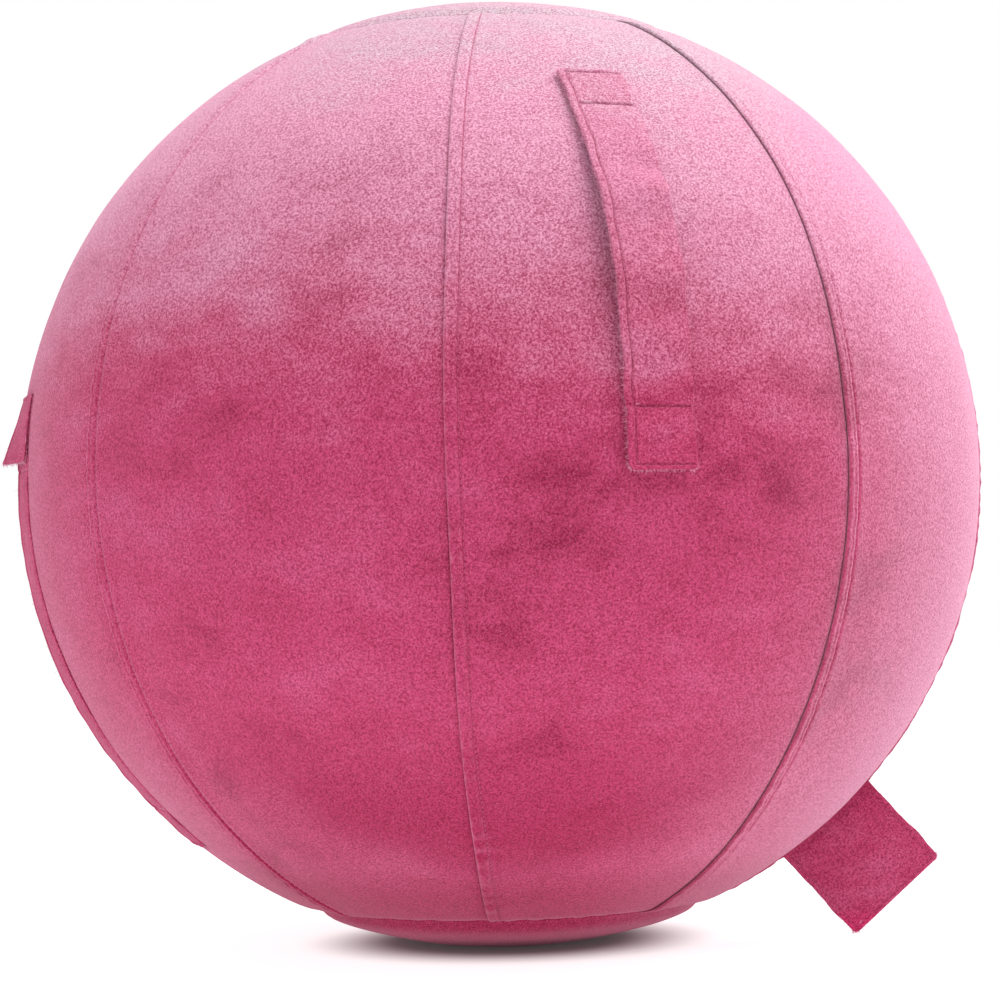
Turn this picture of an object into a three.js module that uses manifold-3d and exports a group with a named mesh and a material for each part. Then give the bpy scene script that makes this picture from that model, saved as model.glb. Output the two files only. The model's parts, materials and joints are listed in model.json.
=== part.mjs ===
// Exercise ball in a fitted plush cover, with two carry straps, a grip tab and a zip at the back.
// Millimetres, +Z up. The origin is the centre of the flat foot on the floor and -Y is the front.
// Azimuth 0 is the front and grows towards +X. Latitude 0 is the widest ring and +90 the top.

import * as THREE from 'three';
import Module from 'manifold-3d';
import { mergeVertices } from 'three/addons/utils/BufferGeometryUtils.js';

// Driving dimensions
const BALL_RADIUS = 325; // half the width of the inflated ball
const TOP_RISE = 324; // from the widest ring up to the top
const BOTTOM_DROP = 316; // from the widest ring down to where the bottom would be if nothing pressed it flat
const CENTRE_HEIGHT = 312; // of the widest ring above the floor
const COVER_THICKNESS = 3;
const SEWING_GAP = 0.35; // half the gap left between two panels that are sewn together
const GORES = 8;
const CAP_ANGLE = 24; // from the pole to a cap's seam, in degrees
const PANEL_ROWS = 18;
const PANEL_COLUMNS = 6;
const CAP_SLICES = 48;
const TOP_CAP_ROWS = 5;
const BOTTOM_CAP_ROWS = 4;

const BLADDER_DEPTH = 4.8; // of the bladder's skin under the cover's face
const BLADDER_WALL = 1.5;
const FOOT_CLEARANCE = 0.4;
const BLADDER_SLICES = 32;
const BLADDER_STACKS = 18;

const STRAP_WIDTH = 41;
const STRAP_THICKNESS = 4;
const STRAP_SEAT = 0.7; // clearance between a strap and the ball where it lies flat
const JOINT_GAP = 0.2; // half the gap between two stretches of one strap, in degrees
const STRAP_COLUMNS = 4;
const GRIP_ROWS = 14;
const END_ROWS = 3;
const BOW_FULLNESS = 1.5; // the power that flattens the grip's bow towards its two seams
const FRONT_STRAP = { azimuth: -0.9, bottom: -2.3, lowerSeam: 4.2, upperSeam: 40.6, top: 46.7, bow: 7.5 };
const LEFT_STRAP = { azimuth: -90, bottom: -49, lowerSeam: -42.5, upperSeam: 1.6, top: 11.2, bow: 0.8 };
const TAIL_LIFT = 3; // how far the front strap's loose end stands off the ball
const FLAP = { foldLatitude: 9.8, endLatitude: 2.4, rise: 5.4, lift: 4 };

const TAB = { azimuth: 67.5, latitude: -48.2, width: 77, length: 66, thickness: 3.6, rise: 2.6, corner: 4 };

const ZIP_AZIMUTH = 157.5;
const ZIP_TOP = 22; // latitude of the closed end of the zip
const ZIP_BOTTOM = -56;
const ZIP_HALF_WIDTH = 7; // from the zip's centreline to the edge of a panel
const ZIP_END_TAPER = 1.2; // in degrees of latitude
const ZIP_CLEARANCE = 0.35; // between pieces of the zip that slide or lie on each other
const TAPE = { inner: 0.4, outer: 6.6, depth: 2.5, thickness: 0.7 };
const COIL = { inner: 0.9, outer: 3.1, depth: 1.4, thickness: 1.9 };
const SLIDER = { halfWidth: 4.7, length: 13, plate: 1.2, flange: 0.9, neck: 1, neckLength: 3 };
const SLIDER_WELD = 0.2; // how far the slider's own pieces run into each other
const BRIDGE = { width: 1.8, length: 8, height: 3.2, leg: 1.2, bar: 0.9, lean: 0.4 };
const PULL = { width: 6.6, length: 27, thickness: 1.1, window: 3.2, windowLength: 6.2, eye: 1.2 };
const STOP = { halfWidth: 3.6, length: 4, thickness: 1.8, margin: 1, gap: 0.6 };
const ZIP_ROWS = 24;

const VALVE_LATITUDE = -20;
const VALVE = { hole: 11, sleeve: 10.4, bore: 5.4, recess: 9.4, recessDepth: 2.2 };
const VALVE_SLICES = 24;
const HOLE_CUT = 12; // length of the cutter for the bladder's hole
const VALVE_FLANGE = { radius: 17, thickness: 2, clearance: 3 };
const PLUG = { head: 8.9, headThickness: 1.8, shaft: 4.9, tip: 4.1, straight: 2, length: 19, collar: 0.2 };

const ARC_SEGMENTS = 8; // in each rounded corner of a flat piece

const FABRIC = { color: 0xd4547f, roughness: 0.95, metalness: 0 };
const STRAP_FABRIC = { color: 0xd86a90, roughness: 0.95, metalness: 0 };
const TAPE_FABRIC = { color: 0xb8396a, roughness: 0.85, metalness: 0 };
const COIL_PLASTIC = { color: 0xc9547f, roughness: 0.5, metalness: 0 };
const PVC = { color: 0x8f9499, roughness: 0.45, metalness: 0 };
const VALVE_PLASTIC = { color: 0xeeeeea, roughness: 0.4, metalness: 0 };
const METAL = { color: 0xb9babd, roughness: 0.35, metalness: 1 };

const radians = THREE.MathUtils.degToRad;
const group = new THREE.Group();
const wasm = await Module();
wasm.setup();

function add(name, geometry, finish) {
  const mesh = new THREE.Mesh(geometry, new THREE.MeshStandardMaterial(finish));
  mesh.name = name;
  group.add(mesh);
  return mesh;
}

// The ball's surface

function reach(latitude) {
  return latitude < 0 ? BOTTOM_DROP : TOP_RISE;
}

// A point at a distance above the ball's surface, never lower than floor
function onBall(azimuth, latitude, above = 0, floor = -Infinity) {
  const a = radians(azimuth);
  const b = radians(latitude);
  const r = (BALL_RADIUS + above) * Math.cos(b);
  const z = CENTRE_HEIGHT + (reach(latitude) + above) * Math.sin(b);
  return new THREE.Vector3(r * Math.sin(a), -r * Math.cos(a), Math.max(z, floor));
}

// The azimuth that lies a distance along the ring at a latitude from another azimuth
function sideways(azimuth, latitude, distance) {
  const ring = BALL_RADIUS * Math.cos(radians(latitude));
  return azimuth + THREE.MathUtils.radToDeg(distance / ring);
}

// A slab of across x along x 1 cells, bent by a function from (u, v, w) in 0..1 to a point
function bentSlab(across, along, bend) {
  const geometry = new THREE.BoxGeometry(1, 1, 1, across, along, 1);
  const position = geometry.attributes.position;
  for (let i = 0; i < position.count; i += 1) {
    const p = bend(position.getX(i) + 0.5, position.getY(i) + 0.5, position.getZ(i) + 0.5);
    position.setXYZ(i, p.x, p.y, p.z);
  }
  return geometry;
}

function solid(geometry) {
  const bare = geometry.clone();
  bare.deleteAttribute('normal');
  bare.deleteAttribute('uv');
  const merged = mergeVertices(bare, 1e-4);
  return new wasm.Manifold(
    new wasm.Mesh({
      numProp: 3,
      vertProperties: new Float32Array(merged.attributes.position.array),
      triVerts: new Uint32Array(merged.index.array),
    }),
  );
}

function fromSolid(result) {
  const mesh = result.getMesh();
  const geometry = new THREE.BufferGeometry();
  geometry.setAttribute('position', new THREE.BufferAttribute(mesh.vertProperties, 3));
  geometry.setIndex(new THREE.BufferAttribute(mesh.triVerts, 1));
  return geometry;
}

// Cover panels

// How far a panel's edge keeps from the seam's line, wider where the zip is let in
function edgeClearance(seamAzimuth, latitude) {
  if (seamAzimuth !== ZIP_AZIMUTH) return SEWING_GAP;
  const beyond = Math.max(latitude - ZIP_TOP, ZIP_BOTTOM - latitude, 0);
  const opening = THREE.MathUtils.clamp(1 - beyond / ZIP_END_TAPER, 0, 1);
  return THREE.MathUtils.lerp(SEWING_GAP, ZIP_HALF_WIDTH, opening);
}

function panelLatitudes() {
  const edge = 90 - CAP_ANGLE - THREE.MathUtils.radToDeg(SEWING_GAP / BALL_RADIUS);
  return Array.from({ length: PANEL_ROWS + 1 }, (_, i) => -edge + (2 * edge * i) / PANEL_ROWS);
}

// A zipped gore needs rows of points where its notch starts and ends
function zippedLatitudes() {
  const corners = [ZIP_TOP, ZIP_TOP + ZIP_END_TAPER, ZIP_BOTTOM, ZIP_BOTTOM - ZIP_END_TAPER];
  return [...panelLatitudes(), ...corners].sort((a, b) => a - b);
}

function gore(index) {
  const step = 360 / GORES;
  const left = step * (index - 0.5);
  const right = step * (index + 0.5);
  const zipped = left === ZIP_AZIMUTH || right === ZIP_AZIMUTH;
  const latitudes = zipped ? zippedLatitudes() : panelLatitudes();
  const along = latitudes.length - 1;
  return bentSlab(PANEL_COLUMNS, along, (u, v, w) => {
    const latitude = latitudes[Math.round(v * along)];
    const from = sideways(left, latitude, edgeClearance(left, latitude));
    const to = sideways(right, latitude, -edgeClearance(right, latitude));
    return onBall(THREE.MathUtils.lerp(from, to, u), latitude, (w - 1) * COVER_THICKNESS);
  });
}

// Half a meridian from one latitude to another as lathe points, (radius, height)
function meridian(fromLatitude, toLatitude, above, steps, floor) {
  return Array.from({ length: steps + 1 }, (_, i) => {
    const p = onBall(90, THREE.MathUtils.lerp(fromLatitude, toLatitude, i / steps), above, floor);
    return new THREE.Vector2(Math.max(p.x, 0), p.z);
  });
}

// The latitude below the widest ring at which a surface reaches a height
function latitudeAtHeight(height, above) {
  return -THREE.MathUtils.radToDeg(Math.asin((CENTRE_HEIGHT - height) / (BOTTOM_DROP + above)));
}

function lathe(points, slices) {
  return new THREE.LatheGeometry(points, slices).rotateX(Math.PI / 2);
}

function topCap() {
  const edge = 90 - CAP_ANGLE + THREE.MathUtils.radToDeg(SEWING_GAP / BALL_RADIUS);
  const outside = meridian(90, edge, 0, TOP_CAP_ROWS);
  const inside = meridian(edge, 90, -COVER_THICKNESS, TOP_CAP_ROWS);
  return lathe([...outside, ...inside].reverse(), CAP_SLICES);
}

function bottomCap() {
  const edge = CAP_ANGLE - 90 - THREE.MathUtils.radToDeg(SEWING_GAP / BALL_RADIUS);
  const foot = latitudeAtHeight(0, 0);
  const footLining = latitudeAtHeight(COVER_THICKNESS, -COVER_THICKNESS);
  const outside = meridian(foot, edge, 0, BOTTOM_CAP_ROWS);
  const inside = meridian(edge, footLining, -COVER_THICKNESS, BOTTOM_CAP_ROWS);
  const underside = new THREE.Vector2(0, 0);
  const lining = new THREE.Vector2(0, COVER_THICKNESS);
  return lathe([underside, ...outside, ...inside, lining], CAP_SLICES);
}

// Bladder and valve

function bladderForm(depth, foot) {
  const points = meridian(latitudeAtHeight(foot, -depth), 90, -depth, BLADDER_STACKS, foot);
  return lathe([new THREE.Vector2(0, foot), ...points], BLADDER_SLICES);
}

// Stands a shape made along +Z on the bladder's skin at the valve, pointing outwards
function atValve(geometry) {
  const skin = onBall(ZIP_AZIMUTH, VALVE_LATITUDE, -BLADDER_DEPTH);
  const out = onBall(ZIP_AZIMUTH, VALVE_LATITUDE, 0).sub(skin).normalize();
  const turn = new THREE.Quaternion().setFromUnitVectors(new THREE.Vector3(0, 0, 1), out);
  return geometry.applyQuaternion(turn).translate(skin.x, skin.y, skin.z);
}

function bladder() {
  const foot = COVER_THICKNESS + FOOT_CLEARANCE;
  const skin = solid(bladderForm(BLADDER_DEPTH, foot));
  const air = solid(bladderForm(BLADDER_DEPTH + BLADDER_WALL, foot + BLADDER_WALL));
  const cutter = new THREE.CylinderGeometry(VALVE.hole, VALVE.hole, HOLE_CUT, VALVE_SLICES);
  const hole = solid(atValve(cutter.rotateX(Math.PI / 2)));
  return fromSolid(skin.subtract(air).subtract(hole));
}

// Heights are measured from the bladder's skin, outwards
function valveSeat() {
  const under = -BLADDER_WALL - VALVE_FLANGE.clearance;
  const profile = [
    [VALVE.bore, -VALVE.recessDepth],
    [VALVE.bore, under - VALVE_FLANGE.thickness],
    [VALVE_FLANGE.radius, under - VALVE_FLANGE.thickness],
    [VALVE_FLANGE.radius, under],
    [VALVE.sleeve, under],
    [VALVE.sleeve, 0],
    [VALVE.recess, 0],
    [VALVE.recess, -VALVE.recessDepth],
    [VALVE.bore, -VALVE.recessDepth],
  ];
  return atValve(lathe(profile.map(([r, z]) => new THREE.Vector2(r, z)), VALVE_SLICES));
}

function valvePlug() {
  const top = -VALVE.recessDepth + PLUG.collar + PLUG.headThickness;
  const under = top - PLUG.headThickness;
  const profile = [
    [0, top - PLUG.length],
    [PLUG.tip, top - PLUG.length],
    [PLUG.shaft, under - PLUG.straight],
    [PLUG.shaft, under],
    [PLUG.head, under],
    [PLUG.head, top],
    [0, top],
  ];
  return atValve(lathe(profile.map(([r, z]) => new THREE.Vector2(r, z)), VALVE_SLICES));
}

// Straps

// A stretch of strap between two latitudes; rise(v) is its underside's height above the ball
function strapStretch(azimuth, fromLatitude, toLatitude, rise, steps) {
  return bentSlab(STRAP_COLUMNS, steps, (u, v, w) => {
    const latitude = THREE.MathUtils.lerp(fromLatitude, toLatitude, v);
    const across = sideways(azimuth, latitude, (u - 0.5) * STRAP_WIDTH);
    return onBall(across, latitude, rise(v) + w * STRAP_THICKNESS);
  });
}

function grip(strap) {
  const rise = (v) => STRAP_SEAT + strap.bow * Math.sin(Math.PI * v) ** BOW_FULLNESS;
  const from = strap.lowerSeam + JOINT_GAP;
  return strapStretch(strap.azimuth, from, strap.upperSeam - JOINT_GAP, rise, GRIP_ROWS);
}

function topEnd(strap) {
  const from = strap.upperSeam + JOINT_GAP;
  return strapStretch(strap.azimuth, from, strap.top, () => STRAP_SEAT, END_ROWS);
}

function bottomEnd(strap, lift) {
  const rise = (v) => STRAP_SEAT + lift * (1 - v) ** 2;
  return strapStretch(strap.azimuth, strap.bottom, strap.lowerSeam - JOINT_GAP, rise, END_ROWS);
}

// The left strap's loose upper end, turned back over the strap and hanging from its fold
function flap() {
  const rise = (v) => FLAP.rise + FLAP.lift * (1 - v);
  return strapStretch(LEFT_STRAP.azimuth, FLAP.endLatitude, FLAP.foldLatitude, rise, END_ROWS);
}

// Tab

// The tab's outline, from its root at y = 0 out to its two rounded corners
function tabShape() {
  const half = TAB.width / 2;
  const round = TAB.corner;
  const outline = new THREE.Shape();
  outline.moveTo(-half, 0);
  outline.lineTo(half, 0);
  outline.lineTo(half, TAB.length - round);
  outline.absarc(half - round, TAB.length - round, round, 0, Math.PI / 2, false);
  outline.lineTo(round - half, TAB.length);
  outline.absarc(round - half, TAB.length - round, round, Math.PI / 2, Math.PI, false);
  outline.closePath();
  return outline;
}

// Stands straight out of a seam, in the plane of the seam's meridian
function tab() {
  const root = onBall(TAB.azimuth, TAB.latitude, TAB.rise);
  const out = onBall(TAB.azimuth, TAB.latitude, TAB.rise + 1).sub(root).normalize();
  const side = onBall(TAB.azimuth + 90, 0).setZ(0).normalize();
  const along = new THREE.Vector3().crossVectors(out, side);
  const frame = new THREE.Matrix4().makeBasis(along, out, side).setPosition(root);
  const settings = { depth: TAB.thickness, bevelEnabled: false, curveSegments: ARC_SEGMENTS };
  const plate = new THREE.ExtrudeGeometry(tabShape(), settings);
  return plate.translate(0, 0, -TAB.thickness / 2).applyMatrix4(frame);
}

// Zip

// The zip lies on a circle through three points of the seam, so that its slider swings about one axis
function zipCircle() {
  const [a, b, c] = [ZIP_TOP, (ZIP_TOP + ZIP_BOTTOM) / 2, ZIP_BOTTOM].map((latitude) => {
    const p = onBall(90, latitude);
    return new THREE.Vector2(p.x, p.z);
  });
  const d = 2 * (a.x * (b.y - c.y) + b.x * (c.y - a.y) + c.x * (a.y - b.y));
  const [aa, bb, cc] = [a.lengthSq(), b.lengthSq(), c.lengthSq()];
  const centre = new THREE.Vector2(
    (aa * (b.y - c.y) + bb * (c.y - a.y) + cc * (a.y - b.y)) / d,
    (aa * (c.x - b.x) + bb * (a.x - c.x) + cc * (b.x - a.x)) / d,
  );
  const angle = (p) => THREE.MathUtils.radToDeg(Math.atan2(p.y - centre.y, p.x - centre.x));
  return { centre, radius: centre.distanceTo(a), top: angle(a), bottom: angle(c) };
}

const zip = zipCircle();

// A point of the zip: angle along its circle, distance to the right of its centreline, height above its face
function onZip(angle, right, above) {
  const a = radians(angle);
  const azimuth = radians(ZIP_AZIMUTH);
  const out = zip.centre.x + (zip.radius + above) * Math.cos(a);
  const z = zip.centre.y + (zip.radius + above) * Math.sin(a);
  const x = out * Math.sin(azimuth) + right * Math.cos(azimuth);
  const y = -out * Math.cos(azimuth) + right * Math.sin(azimuth);
  return new THREE.Vector3(x, y, z);
}

// The angle that a length takes along the zip's circle
function zipAngle(length) {
  return THREE.MathUtils.radToDeg(length / zip.radius);
}

// A strip along one side of the zip, -1 left or 1 right, that stops an angle short of the zip's two ends
function zipStrip(side, strip, margin) {
  const [low, high] = side < 0 ? [-strip.outer, -strip.inner] : [strip.inner, strip.outer];
  return bentSlab(1, ZIP_ROWS, (u, v, w) => {
    const angle = THREE.MathUtils.lerp(zip.bottom + margin, zip.top - margin, v);
    return onZip(angle, THREE.MathUtils.lerp(low, high, u), w * strip.thickness - strip.depth);
  });
}

function zipStop(fromAngle) {
  const under = TAPE.thickness - TAPE.depth + ZIP_CLEARANCE;
  return bentSlab(1, 1, (u, v, w) => {
    const right = THREE.MathUtils.lerp(-STOP.halfWidth, STOP.halfWidth, u);
    return onZip(fromAngle + v * zipAngle(STOP.length), right, under + w * STOP.thickness);
  });
}

// Moves a shape made at the origin, with +X right, +Y up the zip and +Z out, to a place on the zip
function atZip(geometry, angle, above) {
  const place = onZip(angle, 0, above);
  const out = onZip(angle, 0, above + 1).sub(place);
  const right = onZip(angle, 1, above).sub(place);
  const up = new THREE.Vector3().crossVectors(out, right);
  return geometry.applyMatrix4(new THREE.Matrix4().makeBasis(right, up, out).setPosition(place));
}

function box(width, length, height, x = 0, y = 0, bottom = 0) {
  return new THREE.BoxGeometry(width, length, height).translate(x, y, bottom + height / 2);
}

const coilTop = COIL.thickness - COIL.depth;
const sliderFloor = coilTop + ZIP_CLEARANCE;
const sliderTop = sliderFloor + SLIDER.plate;
const sliderAngle = zip.top - zipAngle(STOP.margin + STOP.length + STOP.gap + SLIDER.length / 2);

// The bridge is an arch that the pull's eye hangs in
function bridgeShape() {
  const half = BRIDGE.length / 2;
  const arch = new THREE.Shape();
  arch.moveTo(-half, 0);
  arch.lineTo(half, 0);
  arch.lineTo(half - BRIDGE.lean, BRIDGE.height);
  arch.lineTo(BRIDGE.lean - half, BRIDGE.height);
  arch.closePath();
  const inside = half - BRIDGE.leg;
  const opening = new THREE.Path();
  opening.moveTo(-inside, SLIDER_WELD / 2);
  opening.lineTo(inside, SLIDER_WELD / 2);
  opening.lineTo(inside - BRIDGE.lean, BRIDGE.height - BRIDGE.bar);
  opening.lineTo(BRIDGE.lean - inside, BRIDGE.height - BRIDGE.bar);
  opening.closePath();
  arch.holes.push(opening);
  return arch;
}

function slider() {
  const flangeDepth = sliderFloor + TAPE.depth - TAPE.thickness - ZIP_CLEARANCE;
  const flangeHeight = flangeDepth + SLIDER_WELD;
  const flangeX = SLIDER.halfWidth - SLIDER.flange / 2;
  const plate = solid(box(2 * SLIDER.halfWidth, SLIDER.length, SLIDER.plate));
  const left = solid(box(SLIDER.flange, SLIDER.length, flangeHeight, -flangeX, 0, -flangeDepth));
  const right = solid(box(SLIDER.flange, SLIDER.length, flangeHeight, flangeX, 0, -flangeDepth));
  const neckY = (SLIDER.length - SLIDER.neckLength) / 2;
  const neck = solid(box(SLIDER.neck, SLIDER.neckLength, flangeHeight, 0, neckY, -flangeDepth));
  const arch = new THREE.ExtrudeGeometry(bridgeShape(), { depth: BRIDGE.width, bevelEnabled: false });
  arch.translate(0, 0, -BRIDGE.width / 2).rotateX(Math.PI / 2).rotateZ(Math.PI / 2);
  arch.translate(0, 0, SLIDER.plate - SLIDER_WELD);
  const whole = plate.add(left).add(right).add(neck).add(solid(arch));
  return atZip(fromSolid(whole), sliderAngle, sliderFloor);
}

// The pull hangs down the zip from the bridge; its eye's bar is the axis that it swings on
function pull() {
  const outline = new THREE.Shape();
  const half = PULL.width / 2;
  outline.moveTo(-half, PULL.eye / 2);
  outline.lineTo(-half, -PULL.length + half);
  outline.absarc(0, -PULL.length + half, half, Math.PI, 2 * Math.PI, false);
  outline.lineTo(half, PULL.eye / 2);
  outline.closePath();
  const window = new THREE.Path();
  window.moveTo(-PULL.window / 2, -PULL.eye / 2);
  window.lineTo(PULL.window / 2, -PULL.eye / 2);
  window.lineTo(PULL.window / 2, -PULL.eye / 2 - PULL.windowLength);
  window.lineTo(-PULL.window / 2, -PULL.eye / 2 - PULL.windowLength);
  window.closePath();
  outline.holes.push(window);
  const settings = { depth: PULL.thickness, bevelEnabled: false, curveSegments: ARC_SEGMENTS };
  const plate = new THREE.ExtrudeGeometry(outline, settings).translate(0, 0, -PULL.thickness / 2);
  return atZip(plate, sliderAngle, sliderTop + ZIP_CLEARANCE + PULL.thickness / 2);
}

// The assembly

add('bladder', bladder(), PVC);
add('valve_seat', valveSeat(), VALVE_PLASTIC);
add('valve_plug', valvePlug(), VALVE_PLASTIC);

for (let i = 0; i < GORES; i += 1) {
  add(`gore_${i + 1}`, gore(i), FABRIC);
}
add('top_cap', topCap(), FABRIC);
add('bottom_cap', bottomCap(), FABRIC);

add('front_handle', grip(FRONT_STRAP), STRAP_FABRIC);
add('front_handle_top_end', topEnd(FRONT_STRAP), STRAP_FABRIC);
add('front_handle_bottom_end', bottomEnd(FRONT_STRAP, TAIL_LIFT), STRAP_FABRIC);
add('left_handle', grip(LEFT_STRAP), STRAP_FABRIC);
add('left_handle_top_end', topEnd(LEFT_STRAP), STRAP_FABRIC);
add('left_handle_bottom_end', bottomEnd(LEFT_STRAP, 0), STRAP_FABRIC);
add('left_handle_flap', flap(), STRAP_FABRIC);
add('grip_tab', tab(), STRAP_FABRIC);

const tapeMargin = zipAngle(STOP.margin);
const coilMargin = zipAngle(STOP.margin + STOP.length + STOP.gap);
for (const [name, side] of [['left', -1], ['right', 1]]) {
  add(`zip_tape_${name}`, zipStrip(side, TAPE, tapeMargin), TAPE_FABRIC);
  add(`zip_coil_${name}`, zipStrip(side, COIL, coilMargin), COIL_PLASTIC);
}
add('zip_bottom_stop', zipStop(zip.bottom + tapeMargin), METAL);
add('zip_top_stop', zipStop(zip.top - tapeMargin - zipAngle(STOP.length)), METAL);
add('zip_slider', slider(), METAL);
add('zip_pull', pull(), METAL);

export default group;
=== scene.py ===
"""Exercise ball in a fitted plush cover, dressed around its CAD model.

Metres, with +Z up and the front at -Y. Azimuth 0 is the front and grows towards +X. Latitude 0 is
the widest ring.
"""

import json
import math

import bmesh
import bpy
import numpy as np
from mathutils import Matrix, Vector
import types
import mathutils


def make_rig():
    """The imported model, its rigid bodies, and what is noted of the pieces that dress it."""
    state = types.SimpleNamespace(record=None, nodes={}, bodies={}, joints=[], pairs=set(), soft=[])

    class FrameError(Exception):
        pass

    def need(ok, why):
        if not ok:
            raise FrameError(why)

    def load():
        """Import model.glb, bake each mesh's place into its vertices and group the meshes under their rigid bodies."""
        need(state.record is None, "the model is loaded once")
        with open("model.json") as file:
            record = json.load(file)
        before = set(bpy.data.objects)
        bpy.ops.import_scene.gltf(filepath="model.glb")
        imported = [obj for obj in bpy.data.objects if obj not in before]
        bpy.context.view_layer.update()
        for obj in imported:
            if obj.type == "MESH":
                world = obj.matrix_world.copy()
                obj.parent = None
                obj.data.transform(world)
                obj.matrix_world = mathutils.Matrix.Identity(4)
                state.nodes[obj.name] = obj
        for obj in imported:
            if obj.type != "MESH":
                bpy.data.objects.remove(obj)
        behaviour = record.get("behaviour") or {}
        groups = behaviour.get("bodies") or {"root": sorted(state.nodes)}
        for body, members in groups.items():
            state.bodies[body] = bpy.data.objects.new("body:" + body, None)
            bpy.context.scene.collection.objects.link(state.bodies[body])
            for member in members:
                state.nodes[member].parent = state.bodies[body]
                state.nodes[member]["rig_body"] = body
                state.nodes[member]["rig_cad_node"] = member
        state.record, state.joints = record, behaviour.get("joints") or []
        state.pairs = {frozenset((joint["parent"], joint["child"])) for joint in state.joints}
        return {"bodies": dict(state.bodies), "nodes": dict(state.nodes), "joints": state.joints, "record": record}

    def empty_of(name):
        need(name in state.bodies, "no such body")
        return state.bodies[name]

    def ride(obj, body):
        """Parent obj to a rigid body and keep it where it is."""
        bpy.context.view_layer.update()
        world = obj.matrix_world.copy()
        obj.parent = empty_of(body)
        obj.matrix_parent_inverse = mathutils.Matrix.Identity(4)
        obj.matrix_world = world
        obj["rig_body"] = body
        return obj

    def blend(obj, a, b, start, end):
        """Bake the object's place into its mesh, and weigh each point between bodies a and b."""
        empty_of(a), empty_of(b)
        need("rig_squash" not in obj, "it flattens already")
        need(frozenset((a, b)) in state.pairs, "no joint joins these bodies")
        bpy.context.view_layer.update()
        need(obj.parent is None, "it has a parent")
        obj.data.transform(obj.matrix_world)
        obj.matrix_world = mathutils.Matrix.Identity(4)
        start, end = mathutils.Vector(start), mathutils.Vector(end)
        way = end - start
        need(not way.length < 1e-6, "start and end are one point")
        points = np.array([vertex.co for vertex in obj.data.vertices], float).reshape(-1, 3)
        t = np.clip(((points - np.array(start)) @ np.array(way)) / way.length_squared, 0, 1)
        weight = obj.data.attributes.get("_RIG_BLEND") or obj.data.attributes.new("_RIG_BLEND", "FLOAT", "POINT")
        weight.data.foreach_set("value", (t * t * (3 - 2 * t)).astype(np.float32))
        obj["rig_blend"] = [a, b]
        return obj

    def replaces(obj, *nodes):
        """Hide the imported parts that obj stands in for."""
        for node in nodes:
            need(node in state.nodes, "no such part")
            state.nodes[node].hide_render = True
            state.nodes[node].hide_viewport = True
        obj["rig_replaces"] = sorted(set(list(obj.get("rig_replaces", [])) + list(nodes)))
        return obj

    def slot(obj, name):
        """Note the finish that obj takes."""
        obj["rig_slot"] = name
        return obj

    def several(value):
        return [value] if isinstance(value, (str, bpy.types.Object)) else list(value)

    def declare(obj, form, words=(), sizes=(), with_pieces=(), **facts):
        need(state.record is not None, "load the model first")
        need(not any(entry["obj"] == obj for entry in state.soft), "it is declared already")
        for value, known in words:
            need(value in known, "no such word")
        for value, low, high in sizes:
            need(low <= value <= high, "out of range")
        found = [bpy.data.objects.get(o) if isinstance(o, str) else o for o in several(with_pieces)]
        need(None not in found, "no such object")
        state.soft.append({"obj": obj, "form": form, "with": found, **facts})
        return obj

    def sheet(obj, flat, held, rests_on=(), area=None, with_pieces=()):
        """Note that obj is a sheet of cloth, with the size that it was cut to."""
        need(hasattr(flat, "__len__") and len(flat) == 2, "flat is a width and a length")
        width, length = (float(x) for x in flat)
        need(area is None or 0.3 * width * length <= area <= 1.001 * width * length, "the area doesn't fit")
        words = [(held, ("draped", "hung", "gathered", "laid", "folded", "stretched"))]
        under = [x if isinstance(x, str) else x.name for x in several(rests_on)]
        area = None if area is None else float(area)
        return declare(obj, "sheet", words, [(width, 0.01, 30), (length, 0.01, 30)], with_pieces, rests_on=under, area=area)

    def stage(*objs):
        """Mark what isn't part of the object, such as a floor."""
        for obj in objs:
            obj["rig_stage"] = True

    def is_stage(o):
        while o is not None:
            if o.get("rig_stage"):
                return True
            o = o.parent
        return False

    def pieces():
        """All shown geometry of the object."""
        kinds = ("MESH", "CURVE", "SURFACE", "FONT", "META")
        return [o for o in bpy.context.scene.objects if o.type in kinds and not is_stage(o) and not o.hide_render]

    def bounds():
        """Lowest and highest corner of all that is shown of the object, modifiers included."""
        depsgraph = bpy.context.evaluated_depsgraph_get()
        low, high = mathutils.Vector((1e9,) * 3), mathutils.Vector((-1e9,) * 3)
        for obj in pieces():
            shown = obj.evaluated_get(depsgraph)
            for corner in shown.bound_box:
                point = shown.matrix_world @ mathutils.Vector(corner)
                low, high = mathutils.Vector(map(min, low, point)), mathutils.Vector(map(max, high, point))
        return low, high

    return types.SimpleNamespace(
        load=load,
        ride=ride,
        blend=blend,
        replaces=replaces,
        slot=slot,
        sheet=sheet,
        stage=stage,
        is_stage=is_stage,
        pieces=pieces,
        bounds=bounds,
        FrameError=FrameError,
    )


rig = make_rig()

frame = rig.load()
cad_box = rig.bounds()

MM = 0.001

# The ball's form, as in the CAD model
RADIUS = 0.325
TOP_RISE = 0.324
BOTTOM_DROP = 0.316
CENTRE = 0.312
GORES = 8
CAP_SEAM = 66.0

# The cover's fabric
FABRIC = 1.5 * MM
SEAM_ROWS = 250
BAND_STITCH = 8.0 * MM  # from a seam to its row of topstitching
TOP_DIP = 1.6 * MM  # how deep the seam of the top cap pulls in
BOTTOM_DIP = 3.2 * MM
DIP_WIDTH = 8.0 * MM
ROLL_DEPTH = 1.5 * MM  # how far a panel's edge rolls into the seam of a cap
ROLL_WIDTH = 1.8 * MM
SWELL = 0.28 * MM
FINE_SWELL = 0.1 * MM
GATHER_DEPTH = 0.32 * MM
GATHER_SIZE = 11.0 * MM
GATHER_REACH = 9.0 * MM
CAP_FULLNESS = 1.0 * MM

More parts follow.
